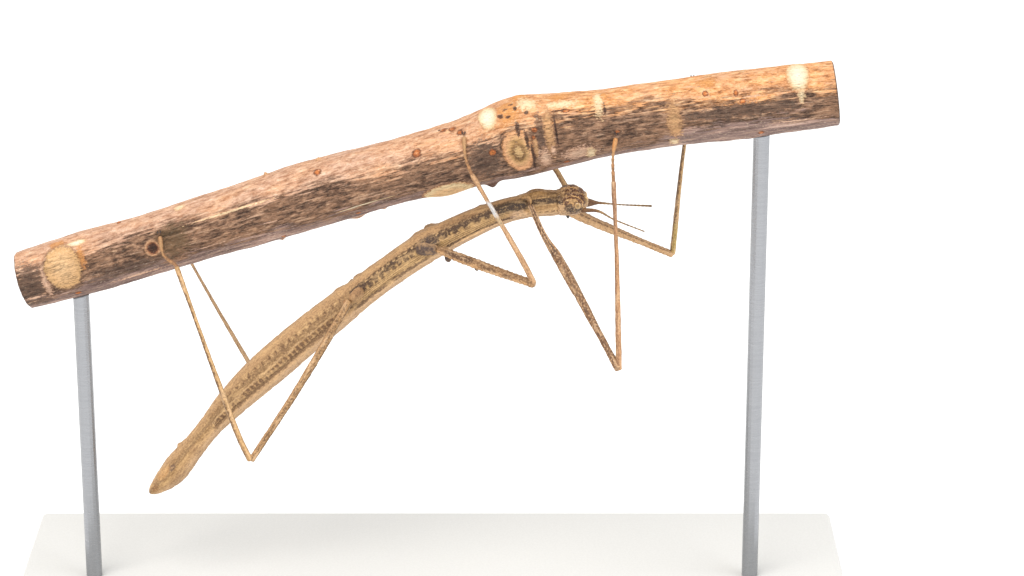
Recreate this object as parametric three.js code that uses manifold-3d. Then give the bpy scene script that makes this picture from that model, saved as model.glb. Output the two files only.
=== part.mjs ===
// A life-size stick insect hanging belly up under a cut length of branch, on a plain display stand.
// Millimetres, +Z up. The head points towards +X, and the insect's left legs are on the -Y side.

import * as THREE from 'three';
import { RoundedBoxGeometry } from 'three/addons/geometries/RoundedBoxGeometry.js';
import { mergeVertices } from 'three/addons/utils/BufferGeometryUtils.js';
import ManifoldModule from 'manifold-3d';

const manifold = await ManifoldModule();
manifold.setup();
const { Manifold, Mesh: SolidMesh } = manifold;

const at = (x, y, z) => new THREE.Vector3(x, y, z);
const LATERAL = at(0, 1, 0);

// ---- Driving dimensions ----

const GAP = 0.3; // clear space between neighbouring pieces
const ROUND = 0.9; // how far a rounded end closes, 1 being a point
const BLUNT = 0.25; // the same where two lengths of one body meet

// The body's midline from the tip of the tail to the front of the head.
const SPINE = new THREE.CatmullRomCurve3([
  at(-53, 0, 25), at(-49.3, 0, 28.5), at(-45, 0, 33.9), at(-37.4, 0, 43.2), at(-27.3, 0, 52.9),
  at(-14.8, 0, 63.5), at(-0.8, 0, 73.9), at(13.2, 0, 80.8), at(21.9, 0, 82.4), at(28.9, 0, 82.9),
]);

// The body's height, as [distance from the tail's tip, height].
const BODY_HEIGHT = [
  [0, 1.4], [4.8, 4.3], [7.4, 4.85], [12, 4.3], [16.9, 4.05], [24, 5.4], [33, 6.65], [45, 6.55],
  [52, 6.2], [55.5, 5.7], [71, 5.65], [80, 5.1], [90, 4.3], [97, 4.6], [101, 5.2], [102.6, 4.4],
  [103.6, 3],
];
const BODY_WIDTH_RATIO = 1.04;
const TIP_ROUNDING = 1.3; // length over which the tail and the head round off

// The lengths that the body is divided into, as distances from the tail's tip.
const TRUNK = [
  { name: 'tail_end', from: 0, to: 14, rings: 9, closing: [ROUND, BLUNT] },
  { name: 'abdomen_rear', from: 14, to: 28, rings: 7, closing: [BLUNT, BLUNT] },
  { name: 'abdomen_middle', from: 28, to: 41, rings: 6, closing: [BLUNT, BLUNT] },
  { name: 'abdomen_front', from: 41, to: 54.5, rings: 6, closing: [BLUNT, BLUNT] },
  { name: 'metathorax', from: 54.5, to: 72, rings: 7, closing: [BLUNT, BLUNT] },
  { name: 'mesothorax', from: 72, to: 92.4, rings: 7, closing: [BLUNT, BLUNT] },
  { name: 'prothorax', from: 92.4, to: 97.6, rings: 5, closing: [BLUNT, BLUNT] },
];

const HEAD = {
  from: 97.6,
  to: 103.6,
  mouth: { centre: at(26.1, 0, 84), size: at(4, 4, 2.8), tilt: 0.45 },
  eye: { centre: at(26.9, 2.15, 82.7), size: at(1.5, 1.1, 1.5) },
  horn: { base: at(25, 0.95, 81.2), tip: at(25.2, 1.1, 79.8), radius: 0.48 },
};

// Each antenna: a thick base, then a thin lash. Radii are at distances from its root.
const ANTENNAE = {
  left: {
    route: [at(27.6, -1.3, 81.5), at(30.6, -2.5, 81.7), at(33.3, -4, 80.7), at(38.9, -7.5, 79.5)],
    radius: [[0, 0.5], [1.6, 0.42], [3, 0.32], [5, 0.26], [14, 0.25]],
  },
  right: {
    route: [at(27.4, 1.3, 82.1), at(31.1, 2.5, 81.6), at(34.4, 4, 80.8), at(40.8, 7, 79.5)],
    radius: [[0, 1.05], [1.8, 0.74], [3.6, 0.36], [5, 0.26], [15, 0.25]],
  },
};

// Each leg by the places of its joints. Thigh and shin move places along the femur and the tibia
// off a straight line, as [share of its length, offset].
const LEGS = [
  {
    name: 'front_left', pair: 'front',
    thigh: [[0.18, at(-0.42, 0, -0.15)], [0.34, at(-0.12, 0, 0)]], shin: [[0.6, at(0.17, 0, 0)]],
    hip: at(16.6, -1.7, 84), trochanter: at(18.3, -3.4, 83.25), knee: at(34.1, -20, 57.6),
    ankle: at(33.1, -9, 89.6), arch: at(33, -7.7, 93.7), toe: at(33.5, -6.95, 97),
  },
  {
    name: 'front_right', pair: 'front',
    thigh: [[0.4, at(0, 0, -0.25)]], shin: [[0.5, at(-0.14, 0, 0)]],
    hip: at(18.4, 1.7, 84), trochanter: at(20.3, 3.4, 82.25), knee: at(45.35, 20, 65.5),
    ankle: at(47.3, 8.6, 97.7), arch: at(47.6, 7.7, 101), toe: at(47.6, 5.3, 104.4),
  },
  {
    name: 'middle_left', pair: 'middle',
    thigh: [[0.5, at(0, 0, -0.1)]], shin: [[0.2, at(0.2, 0, 0.1)]],
    hip: at(-2.5, -2.5, 74.5), trochanter: at(1.6, -3.8, 74.8), knee: at(18.95, -20, 73.95),
    ankle: at(7.8, -8.5, 90.7), arch: at(6.7, -6.9, 93.4), toe: at(6.4, -5, 96.6),
  },
  {
    name: 'middle_right', pair: 'middle',
    thigh: [[0.5, at(0, 0, -0.1)]], shin: [[0.2, at(0.1, 0, 0.1)]],
    hip: at(-1.1, 2.5, 76), trochanter: at(2.3, 3.8, 76.6), knee: at(25.9, 14, 79.2),
    ankle: at(15.9, 8.6, 98), arch: at(14.3, 8.2, 98), toe: at(11.6, 7.6, 96.6),
  },
  {
    name: 'hind_left', pair: 'hind',
    thigh: [[0.5, at(0.33, 0, -0.2)]],
    shin: [[0.12, at(-0.42, 0, -0.12)], [0.5, at(-0.34, 0, -0.1)]],
    hip: at(-12.2, -2.7, 66.8), trochanter: at(-14.6, -3.8, 64.9), knee: at(-32.3, -18, 39.2),
    ankle: at(-45.5, -8.5, 73.3), arch: at(-47.8, -7.4, 75), toe: at(-48.6, -5.6, 78),
  },
  {
    name: 'hind_right', pair: 'hind',
    thigh: [[0.5, at(0.3, 0, -0.2)]], shin: [[0.55, at(-0.14, 0, -0.05)]],
    hip: at(-11.9, 2.7, 67.3), trochanter: at(-14.2, 3.8, 66), knee: at(-33, 19, 39.5),
    ankle: at(-46.95, 8.4, 72.8), arch: at(-48.1, 7.3, 74.3), toe: at(-49.6, 6.2, 76.4),
  },
];

// Leg thickness as radii at fractions of each length, inner end first.
// A femur is looked up by the leg's own name first, and then by its pair.
const FEMUR_RADIUS = {
  front_left: [[0, 0.46], [0.22, 0.5], [0.3, 0.8], [0.38, 0.88], [0.6, 0.78], [0.85, 0.62], [1, 0.68]],
  front_right: [[0, 0.5], [0.1, 0.84], [0.3, 0.96], [0.5, 0.86], [0.8, 0.62], [1, 0.66]],
  middle: [[0, 0.66], [0.25, 0.88], [0.6, 0.82], [0.9, 0.72], [1, 0.72]],
  hind: [[0, 0.66], [0.2, 0.76], [0.6, 0.66], [0.9, 0.6], [1, 0.6]],
};
const TIBIA_RADIUS = [
  [0, 0.56], [0.1, 0.56], [0.3, 0.52], [0.5, 0.44], [0.8, 0.37], [0.97, 0.46], [1, 0.44],
];
const TARSUS_RADIUS = [[0, 0.34], [0.3, 0.29], [0.7, 0.28], [0.88, 0.42], [1, 0.4]];
const COXA_RADIUS = { front: 0.88, middle: 1.2, hind: 1.05 };
const CLAW = { length: 0.9, radius: 0.26, splay: 0.5 };

// The perch: its midline and its radii at distances along that.
const PERCH_MIDLINE = new THREE.CatmullRomCurve3([
  at(-74.5, 0, 67.4), at(-49.3, 0, 75.1), at(-19.9, 0, 84.5), at(7.4, 0, 92.3), at(16.4, 0, 95.1),
  at(23.7, 0, 96.4), at(45.2, 0, 99.7), at(73.2, 0, 103.2),
]);
const PERCH_RADIUS = [
  [0, 5.3], [11, 5.75], [28, 5.65], [57, 6.15], [72, 5.8], [86, 6.45], [95.5, 7.3], [103, 6.7],
  [111, 6.25], [140, 6.1], [155, 5.8],
];

const STAND = { width: 156, depth: 60, height: 8, corner: 1.2, rodRadius: 1.5 };
const RODS = [{ name: 'stand_rod_left', x: -64.1 }, { name: 'stand_rod_right', x: 60 }];

// ---- Materials ----

const finish = (color, roughness, metalness = 0) =>
  new THREE.MeshStandardMaterial({ color, roughness, metalness, flatShading: true });

const FINISHES = {
  cuticle: () => finish('#a58a5f', 0.6),
  eye: () => finish('#c9b27c', 0.25),
  horn: () => finish('#3d2a1c', 0.45),
  bark: () => finish('#9a6f55', 0.85),
  base: () => finish('#ecebe7', 0.5),
  steel: () => finish('#b9bcc0', 0.3, 1),
};

// ---- Shapes and solids ----

/** A smooth function through [place, value] pairs. */
function smooth(pairs) {
  const places = pairs.map(([place]) => place);
  const values = pairs.map(([, value]) => value);
  const curve = new THREE.CubicInterpolant(places, values, 1, [0]);
  return (place) => curve.evaluate(THREE.MathUtils.clamp(place, places[0], places.at(-1)))[0];
}

/** A manifold solid of a closed three.js geometry. */
function solidOf(geometry) {
  const bare = geometry.clone();
  bare.deleteAttribute('normal');
  bare.deleteAttribute('uv');
  const merged = mergeVertices(bare, 1e-4);
  const corners = merged.index.array;
  const kept = [];
  for (let i = 0; i < corners.length; i += 3) {
    const [a, b, c] = corners.slice(i, i + 3);
    if (a !== b && b !== c && c !== a) kept.push(a, b, c);
  }
  const vertProperties = new Float32Array(merged.attributes.position.array);
  return new Manifold(new SolidMesh({ numProp: 3, vertProperties, triVerts: new Uint32Array(kept) }));
}

/** A round body that follows a curve from one distance along it to another, with rounded ends. */
function bentBody(curve, radiusAt, size) {
  const { from, to, rings, around, ends, closing = [ROUND, ROUND], wide = 1, grow = 0 } = size;
  const [start, end] = [from - grow, to + grow];
  const outline = [new THREE.Vector2(0, start)];
  for (let ring = 0; ring <= rings; ring += 1) {
    const place = start + ((end - start) * (1 - Math.cos((Math.PI * ring) / rings))) / 2;
    const short = [1 - (place - start) / ends[0], 1 - (end - place) / ends[1]];
    const closed = Math.max(...short.map((share, side) => closing[side] * Math.max(share, 0) ** 2));
    const radius = (radiusAt(place) + grow) * Math.sqrt(1 - closed);
    outline.push(new THREE.Vector2(radius, place));
  }
  outline.push(new THREE.Vector2(0, end));
  const body = new THREE.LatheGeometry(outline, around);
  const position = body.getAttribute('position');
  const vertex = new THREE.Vector3();
  const length = curve.getLength();
  for (let i = 0; i < position.count; i += 1) {
    vertex.fromBufferAttribute(position, i);
    const place = THREE.MathUtils.clamp(vertex.y, 0, length);
    const along = curve.getTangentAt(place / length);
    const side = LATERAL.clone().addScaledVector(along, -along.dot(LATERAL)).normalize();
    const point = curve.getPointAt(place / length);
    point.addScaledVector(along, vertex.y - place);
    point.addScaledVector(side, vertex.x * wide);
    point.addScaledVector(side.clone().cross(along), vertex.z);
    position.setXYZ(i, point.x, point.y, point.z);
  }
  return solidOf(body);
}

/** A solid ball stretched to a size, turned about the lateral axis and placed. */
function ball({ centre, size, tilt = 0 }, around, grow = 0) {
  const shape = new THREE.SphereGeometry(1, around, Math.round(around * 0.6));
  shape.scale(size.x / 2 + grow, size.y / 2 + grow, size.z / 2 + grow);
  shape.rotateY(-tilt);
  shape.translate(centre.x, centre.y, centre.z);
  return solidOf(shape);
}

/** A cone from the middle of its base to its tip. */
function spike(base, tip, radius, grow = 0) {
  const along = tip.clone().sub(base);
  const shape = new THREE.ConeGeometry(radius + grow, along.length() + 2 * grow, 8);
  shape.applyQuaternion(new THREE.Quaternion().setFromUnitVectors(at(0, 1, 0), along.normalize()));
  const middle = base.clone().lerp(tip, 0.5);
  shape.translate(middle.x, middle.y, middle.z);
  return solidOf(shape);
}

/** What is left of a solid once its neighbours are cut away: its largest piece. */
function clearOf(solid, neighbours) {
  const pieces = Manifold.difference([solid, ...neighbours]).decompose();
  return pieces.reduce((most, piece) => (piece.volume() > most.volume() ? piece : most));
}

/** Adds a solid to the model as a named mesh. */
function add(group, name, solid, material) {
  const { vertProperties, triVerts } = solid.getMesh();
  const geometry = new THREE.BufferGeometry();
  geometry.setAttribute('position', new THREE.BufferAttribute(vertProperties, 3));
  geometry.setIndex(new THREE.BufferAttribute(triVerts, 1));
  const mesh = new THREE.Mesh(geometry.toNonIndexed(), material);
  mesh.geometry.computeVertexNormals();
  mesh.name = name;
  group.add(mesh);
}

// ---- The insect ----

const bodyHeight = smooth(BODY_HEIGHT);
const bodyRadius = (place) => bodyHeight(place) / 2;

/** One length of the body, drawn in by half a gap at each end that meets a neighbour. */
function trunkLength({ from, to, rings, closing }, around, grow = 0) {
  const [start, end] = [from === 0 ? from : from + GAP / 2, to - GAP / 2];
  const ends = closing.map((share) => (share === BLUNT ? GAP : TIP_ROUNDING));
  const size = { from: start, to: end, rings, around, ends, closing, wide: BODY_WIDTH_RATIO, grow };
  return bentBody(SPINE, bodyRadius, size);
}

const mirrored = (point, side) => at(point.x, Math.abs(point.y) * side, point.z);
const SIDES = [['left', -1], ['right', 1]];

/** The head with its mouth, and beside it the eyes, horns and antennae. */
function addHead(group) {
  const { from, to, mouth, eye, horn } = HEAD;
  const skull = trunkLength({ from, to: to + GAP / 2, rings: 7, closing: [BLUNT, ROUND] }, 16);
  const eyeBall = (side, grow) => ball({ ...eye, centre: mirrored(eye.centre, side) }, 10, grow);
  const hornCone = (side, grow) =>
    spike(mirrored(horn.base, side), mirrored(horn.tip, side), horn.radius, grow);
  const antenna = (side, grow) => {
    const { route, radius } = side < 0 ? ANTENNAE.left : ANTENNAE.right;
    const curve = new THREE.CatmullRomCurve3(route);
    const size = { from: 0, to: curve.getLength(), rings: 9, around: 8, ends: [0.3, 0.3], grow };
    return bentBody(curve, smooth(radius), size);
  };
  const sockets = SIDES.flatMap(([, side]) =>
    [eyeBall, hornCone, antenna].map((shape) => shape(side, GAP)));
  add(group, 'head', clearOf(skull.add(ball(mouth, 14)), sockets), FINISHES.cuticle());
  for (const [word, side] of SIDES) {
    add(group, `eye_${word}`, eyeBall(side, 0), FINISHES.eye());
    add(group, `horn_${word}`, hornCone(side, 0), FINISHES.horn());
    add(group, `antenna_${word}`, antenna(side, 0), FINISHES.cuticle());
  }
}

/** The points of a leg's stretch between two joints, with the places that bow off its line. */
function bowed(from, places, to) {
  return [from, ...places.map(([share, offset]) => from.clone().lerp(to, share).add(offset)), to];
}

/** A straight or bent stretch of leg between two joints. */
function legLength(points, radii, rings, around, grow) {
  const curve = new THREE.CatmullRomCurve3(points);
  const length = curve.getLength();
  const radiusAt = smooth(radii.map(([fraction, radius]) => [fraction * length, radius]));
  return bentBody(curve, radiusAt, { from: 0, to: length, rings, around, ends: [0.5, 0.6], grow });
}

/** The pair of hooked claws at the end of a foot. */
function clawPair({ arch, toe }) {
  const ahead = toe.clone().sub(arch).normalize();
  const root = toe.clone().addScaledVector(ahead, GAP + CLAW.radius);
  const across = at(1, 0, 0).cross(ahead).normalize();
  const hooks = [-1, 1].map((side) => {
    const reach = ahead.clone().applyAxisAngle(across, side * CLAW.splay);
    return spike(root, root.clone().addScaledVector(reach, CLAW.length), CLAW.radius);
  });
  return Manifold.union(hooks);
}

/** One leg: coxa, femur, tibia, foot and claws, each cut clear of what it grows from. */
function addLeg(group, leg, body, perch) {
  const { name, pair, thigh, shin, hip, trochanter, knee, ankle, arch, toe } = leg;
  const femurRoute = bowed(trochanter, thigh, knee);
  const tibiaRoute = bowed(knee, shin, ankle);
  const coxaRadii = [[0, 0.8], [0.4, 1], [1, 0.72]].map(([t, r]) => [t, r * COXA_RADIUS[pair]]);
  const femurRadii = FEMUR_RADIUS[name] ?? FEMUR_RADIUS[pair];
  const shapes = {
    coxa: (grow) => legLength([hip, trochanter], coxaRadii, 5, 9, grow),
    femur: (grow) => legLength(femurRoute, femurRadii, 10, 7, grow),
    tibia: (grow) => legLength(tibiaRoute, TIBIA_RADIUS, 8, 6, grow),
    tarsus: (grow) => legLength([ankle, arch, toe], TARSUS_RADIUS, 7, 6, grow),
    claws: () => clawPair(leg),
  };
  let inner = [...body];
  for (const [part, shape] of Object.entries(shapes)) {
    const around = part === 'tarsus' || part === 'claws' ? [...inner, perch] : inner;
    const material = part === 'claws' ? FINISHES.horn() : FINISHES.cuticle();
    add(group, `${part}_${name}`, clearOf(shape(0), around), material);
    inner = [...body, shape(GAP)];
  }
}

/** The insect, and the space round its perch that its feet keep clear of. */
function addInsect(group, perch) {
  for (const length of TRUNK) add(group, length.name, trunkLength(length, 14), FINISHES.cuticle());
  addHead(group);
  const whole = trunkLength({ from: 0, to: HEAD.to, rings: 24, closing: [ROUND, ROUND] }, 14, GAP);
  for (const leg of LEGS) addLeg(group, leg, [whole], perch);
}

// ---- The perch and the stand ----

/** The cut length of branch, or the space round it. */
function perchLength(rings, around, grow = 0) {
  const size = { from: 0, to: PERCH_MIDLINE.getLength(), rings, around, ends: [0.4, 0.4], grow };
  return bentBody(PERCH_MIDLINE, smooth(PERCH_RADIUS), size);
}

/** The flat base and the two rods that reach up to the perch. */
function addStand(group, perch) {
  const { width, depth, height, corner, rodRadius } = STAND;
  const base = new RoundedBoxGeometry(width, depth, height, 2, corner);
  base.translate(0, 0, height / 2);
  add(group, 'stand_base', solidOf(base), FINISHES.base());
  for (const { name, x } of RODS) {
    const [bottom, top] = [height + GAP, PERCH_MIDLINE.points.at(-1).z];
    const rod = new THREE.CylinderGeometry(rodRadius, rodRadius, top - bottom, 16);
    rod.rotateX(Math.PI / 2);
    rod.translate(x, 0, (top + bottom) / 2);
    add(group, name, clearOf(solidOf(rod), [perch]), FINISHES.steel());
  }
}

const model = new THREE.Group();
const roundPerch = perchLength(30, 18, GAP);
add(model, 'perch', perchLength(30, 18), FINISHES.bark());
addStand(model, roundPerch);
addInsect(model, roundPerch);

export default model;
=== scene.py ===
"""A life-size stick insect hanging belly up under a cut branch, on a plain display stand.

Distances are millimetres unless a name says otherwise. Along is the distance from the first end of
a route. Turn is the angle round it in degrees: 0 is the underside, 90 the near side and 180 the top.
"""

import dataclasses
import functools
import itertools
import logging
import math
from collections.abc import Callable, Iterable, Mapping, Sequence
from dataclasses import dataclass, field
from enum import Enum
from typing import Any

import bpy
import numpy as np
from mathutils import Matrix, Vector

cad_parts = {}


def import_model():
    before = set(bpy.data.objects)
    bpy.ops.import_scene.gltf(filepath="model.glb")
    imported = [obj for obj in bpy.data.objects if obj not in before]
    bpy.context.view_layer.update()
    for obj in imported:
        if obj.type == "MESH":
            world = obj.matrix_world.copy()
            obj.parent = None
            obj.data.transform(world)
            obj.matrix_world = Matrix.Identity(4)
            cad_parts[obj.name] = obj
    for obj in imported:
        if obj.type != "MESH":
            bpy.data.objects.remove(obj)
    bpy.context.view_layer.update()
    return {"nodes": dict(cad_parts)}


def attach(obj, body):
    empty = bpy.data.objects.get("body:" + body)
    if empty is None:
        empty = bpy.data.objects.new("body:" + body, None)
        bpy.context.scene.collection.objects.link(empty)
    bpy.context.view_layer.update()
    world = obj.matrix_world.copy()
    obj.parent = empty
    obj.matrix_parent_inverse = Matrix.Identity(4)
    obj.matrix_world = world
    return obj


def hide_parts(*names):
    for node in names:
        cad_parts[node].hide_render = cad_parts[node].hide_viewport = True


LOG = logging.getLogger("scene")
Point = tuple[float, float, float]
Pairs = Sequence[tuple[float, float]]
Colour = tuple[float, float, float, float]
Socket = bpy.types.NodeSocket
Wire = Socket | float | Sequence[float]

METRES = 0.001
PLACE = "place"
BAKE_MAP = "OFBake"
SIDES = {"left": -1.0, "right": 1.0}


class Slot(Enum):
    """The material slots."""

    CUTICLE = "cuticle"
    EYE = "eye"
    CLAW = "claw"
    BARK = "bark"
    BASE = "base"
    ROD = "rod"


LIGHT = 1.36

def tone(red: float, green: float, blue: float) -> Colour:
    """The linear reflectance of a surface that looks this colour, 0 to 255, in the studio's light."""
    shares = [value / 255 for value in (red, green, blue)]
    seen = ((s / 12.92 if s < 0.04 else ((s + 0.055) / 1.055) ** 2.4) for s in shares)
    return (*(part / LIGHT for part in seen), 1.0)


# ---- Curves, profiles and noise ----


class Route:
    """A smooth curve through points, read by the distance along it."""

    def __init__(self, points: Sequence[Point], steps: int = 60) -> None:
        """Works out a centripetal curve through the points.

        Args:
            points: The places that the curve goes through.
            steps: How many straight steps stand for each stretch between two places.
        """
        known = np.array(points, float)
        known = np.vstack([2 * known[0] - known[1], known, 2 * known[-1] - known[-2]])
        share = np.linspace(0, 1, steps, endpoint=False)[:, None]
        made = []
        for before, first, second, after in zip(known, known[1:], known[2:], known[3:]):
            spans = [
                max(float(np.linalg.norm(b - a)) ** 0.5, 1e-4)
                for a, b in ((before, first), (first, second), (second, after))
            ]
            leaving = (first - before) / spans[0] - (second - before) / (spans[0] + spans[1])
            leaving = (leaving + (second - first) / spans[1]) * spans[1]
            arriving = (second - first) / spans[1] - (after - first) / (spans[1] + spans[2])
            arriving = (arriving + (after - second) / spans[2]) * spans[1]
            square = -3 * first + 3 * second - 2 * leaving - arriving
            cube = 2 * first - 2 * second + leaving + arriving
            made.append(first + leaving * share + square * share**2 + cube * share**3)
        self._points = np.vstack([*made, known[-2:-1]])
        steps_made = np.linalg.norm(np.diff(self._points, axis=0), axis=1)
        self._along = np.concatenate([[0.0], np.cumsum(steps_made)])
        self.length = float(self._along[-1])

    def _on(self, along: np.ndarray) -> np.ndarray:
        """The curve's points at distances along it."""
        return np.stack([np.interp(along, self._along, axis) for axis in self._points.T], -1)

    def frames(self, along: np.ndarray) -> tuple[np.ndarray, np.ndarray, np.ndarray]:
        """Midline points at distances along the route, with the far and the down directions."""
        held = np.clip(along, 0, self.length)
        ahead = self._on(np.clip(held + 0.02, 0, self.length))
        onward = ahead - self._on(np.clip(held - 0.02, 0, self.length))
        onward /= np.linalg.norm(onward, axis=-1, keepdims=True)
        far = np.array([0.0, 1.0, 0.0]) - onward * onward[:, 1:2]
        far /= np.linalg.norm(far, axis=-1, keepdims=True)
        centre = self._on(held) + onward * (along - held)[:, None]
        return centre, far, np.cross(far, onward)

    def spot(self, along: float, turn: float, out: float) -> np.ndarray:
        """The point that lies out from the midline at a distance along and a turn round it."""
        centre, far, down = (rows[0] for rows in self.frames(np.array([along])))
        angle = math.radians(turn)
        return centre + out * (math.cos(angle) * down - math.sin(angle) * far)


class Profile:
    """A smooth function through pairs of place and value."""

    def __init__(self, pairs: Pairs, stretch: float = 1.0) -> None:
        """Keeps the pairs, with every place multiplied by stretch."""
        places, values = np.array(pairs, float).T
        self._places = places * stretch
        self._values = values
        self._slopes = np.gradient(values, self._places)

    def __call__(self, places: np.ndarray) -> np.ndarray:
        """The function's values at places; past its ends it keeps the end values."""
        held = np.clip(places, self._places[0], self._places[-1])
        index = np.clip(np.searchsorted(self._places, held) - 1, 0, len(self._places) - 2)
        span = self._places[index + 1] - self._places[index]
        t = (held - self._places[index]) / span
        first, second = self._values[index], self._values[index + 1]
        rise = (t**3 - 2 * t**2 + t) * self._slopes[index] + (t**3 - t**2) * self._slopes[index + 1]
        return (2 * t**3 - 3 * t**2 + 1) * first + (3 * t**2 - 2 * t**3) * second + rise * span


class Grain:
    """Seeded noise that shapes surfaces, between about -1 and 1."""

    SIZE = 40

    def __init__(self, seed: int) -> None:
        """Fills the noise's lattice from a seed."""
        self._lattice = np.random.default_rng(seed).uniform(-1, 1, (self.SIZE,) * 3)

    def at(self, places: np.ndarray) -> np.ndarray:
        """One layer of noise at places, with one lattice step to a unit."""
        low = np.floor(places).astype(int)
        share = places - low
        share = share * share * (3 - 2 * share)
        total = np.zeros(places.shape[:-1])
        for corner in itertools.product((0, 1), repeat=3):
            weight = np.prod(np.where(corner, share, 1 - share), axis=-1)
            x, y, z = np.moveaxis((low + corner) % self.SIZE, -1, 0)
            total += weight * self._lattice[x, y, z]
        return total

    def layered(self, places: np.ndarray, layers: int = 3) -> np.ndarray:
        """Layers of noise, each twice as fine and half as strong as the one before."""
        return sum(self.at(places * 2**k + 7.3 * k) / 2**k for k in range(layers))


def hump(values: np.ndarray, centre: float, reach: float) -> np.ndarray:
    """A smooth hump of height 1 round a centre."""
    return np.exp(-(((values - centre) / reach) ** 2))


def within(values: np.ndarray, low: float, high: float, soft: float) -> np.ndarray:
    """1 between two values and 0 outside them, with soft edges."""
    rise = np.clip((values - low) / soft + 0.5, 0, 1)
    fall = np.clip((high - values) / soft + 0.5, 0, 1)
    return rise * rise * (3 - 2 * rise) * fall * fall * (3 - 2 * fall)


# ---- Shells ----


@dataclass
class Shell:
    """A closed surface with data at its faces' corners.

    Attributes:
        points: Its vertices.
        faces: The vertices of each face.
        places: Along, down and near at each face corner, which the finishes read.
        flat: Each face corner's place on the unrolled surface.
        finish: Which finish its faces take.
    """

    points: np.ndarray
    faces: list[tuple[int, ...]]
    places: np.ndarray
    flat: np.ndarray
    finish: int = 0

    def mesh(self, name: str) -> bpy.types.Mesh:
        """The shell as a mesh."""
        mesh = bpy.data.meshes.new(name)
        mesh.from_pydata((self.points * METRES).tolist(), [], self.faces)
        attribute = mesh.attributes.new(PLACE, "FLOAT_VECTOR", "CORNER")
        attribute.data.foreach_set("vector", self.places.astype(np.float32).ravel())
        layer = mesh.uv_layers.new(name=BAKE_MAP)
        layer.data.foreach_set("uv", self.flat.astype(np.float32).ravel())
        mesh.polygons.foreach_set("material_index", [self.finish] * len(mesh.polygons))
        mesh.polygons.foreach_set("use_smooth", [True] * len(mesh.polygons))
        mesh.update()
        return mesh


@dataclass(frozen=True)
class Loft:
    """A closed tube round a route.

    Attributes:
        route: The tube's midline.
        radius: Radii for distances along and turns round the tube.
        rings: Number of rings between the rounded ends.
        around: Number of points in a ring.
        start: Where it starts along the route.
        end: Where it ends, or None for the route's end.
        rounding: Lengths over which the two ends close.
        closing: How far each end closes, 1 being a point.
        wide: Width over height.
    """

    route: Route
    radius: Callable[[np.ndarray, np.ndarray], np.ndarray]
    rings: int
    around: int
    start: float = 0.0
    end: float | None = None
    rounding: tuple[float, float] = (0.5, 0.5)
    closing: tuple[float, float] = (1.0, 1.0)
    wide: float = 1.0

    def stations(self) -> tuple[np.ndarray, float]:
        """Where the rings stand, and where the tube ends."""
        end = self.route.length if self.end is None else self.end
        curve = 1 - np.cos(np.linspace(0.3, math.pi / 2, 6))
        first = self.start + curve * self.rounding[0]
        last = (end - curve * self.rounding[1])[::-1]
        middle = np.linspace(first[-1], last[0], self.rings)[1:-1]
        return np.concatenate([first, middle, last]), end

    def shell(self, finish: int = 0) -> Shell:
        """The tube as a shell."""
        along, end = self.stations()
        turns = np.linspace(-180, 180, self.around + 1)
        radii = self.radius(along[:, None], turns[None, :]) * np.ones((len(along), len(turns)))
        shares = zip(self.closing, ((along - self.start) / self.rounding[0], (end - along) / self.rounding[1]))
        closed = np.maximum(*(how * np.maximum(1 - near, 0) ** 2 for how, near in shares))
        radii = radii * np.sqrt(1 - closed)[:, None]
        centre, far, down = (rows[:, None, :] for rows in self.route.frames(along))
        angle = np.radians(turns)[None, :, None]
        reach = radii[..., None]
        grid = centre + reach * (np.cos(angle) * down - np.sin(angle) * far * self.wide)
        places = np.dstack([along[:, None] * np.ones_like(radii), *(radii * f(np.radians(turns)) for f in (np.cos, np.sin))])
        flat = np.dstack([along[:, None] * np.ones_like(radii), np.radians(turns)[None, :] * radii.mean(1)[:, None]])
        return self._stitched(grid, places, flat, end, finish)

    def _stitched(self, grid: np.ndarray, places: np.ndarray, flat: np.ndarray, end: float, finish: int) -> Shell:
        """Joins a grid of rings into a closed shell.

        Args:
            grid: Points by ring and turn, the last turn being the first again.
            places: The finishes' data by ring and turn.
            flat: Unrolled places by ring and turn.
            end: Where the tube ends along its route.
            finish: Which finish the faces take.

        Returns:
            The closed shell, with a point at the middle of each end.
        """
        rings, around = grid.shape[0], self.around
        vertex = np.arange(rings * around).reshape(rings, around)
        vertex = np.hstack([vertex, vertex[:, :1]])
        corner = np.arange(rings * (around + 1)).reshape(rings, around + 1)

        def quads(index: np.ndarray) -> np.ndarray:
            """The four corners of each cell of the grid."""
            return np.stack([index[:-1, :-1], index[1:, :-1], index[1:, 1:], index[:-1, 1:]], -1)

        poles, _, _ = self.route.frames(np.array([self.start, end]))
        points = np.vstack([grid[:, :-1].reshape(-1, 3), poles])
        faces = [tuple(face) for face in quads(vertex).reshape(-1, 4).tolist()]
        cells = quads(corner).reshape(-1)
        face_places = [places.reshape(-1, 3)[cells]]
        face_flat = [flat.reshape(-1, 2)[cells]]
        for ring, pole, place, order in ((0, rings * around, self.start, 1), (-1, rings * around + 1, end, -1)):
            for j in range(around):
                pair = (j, j + 1)[::order]
                faces.append((pole, *(int(vertex[ring, k]) for k in pair)))
                middle = places[ring, list(pair)].mean(0) * 0.05
                middle[0] = place
                face_places.append(np.vstack([middle, places[ring, list(pair)]]))
                tip = flat[ring, list(pair)].mean(0)
                tip[0] = place
                face_flat.append(np.vstack([tip, flat[ring, list(pair)]]))
        return Shell(points, faces, np.vstack(face_places), np.vstack(face_flat), finish)


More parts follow.
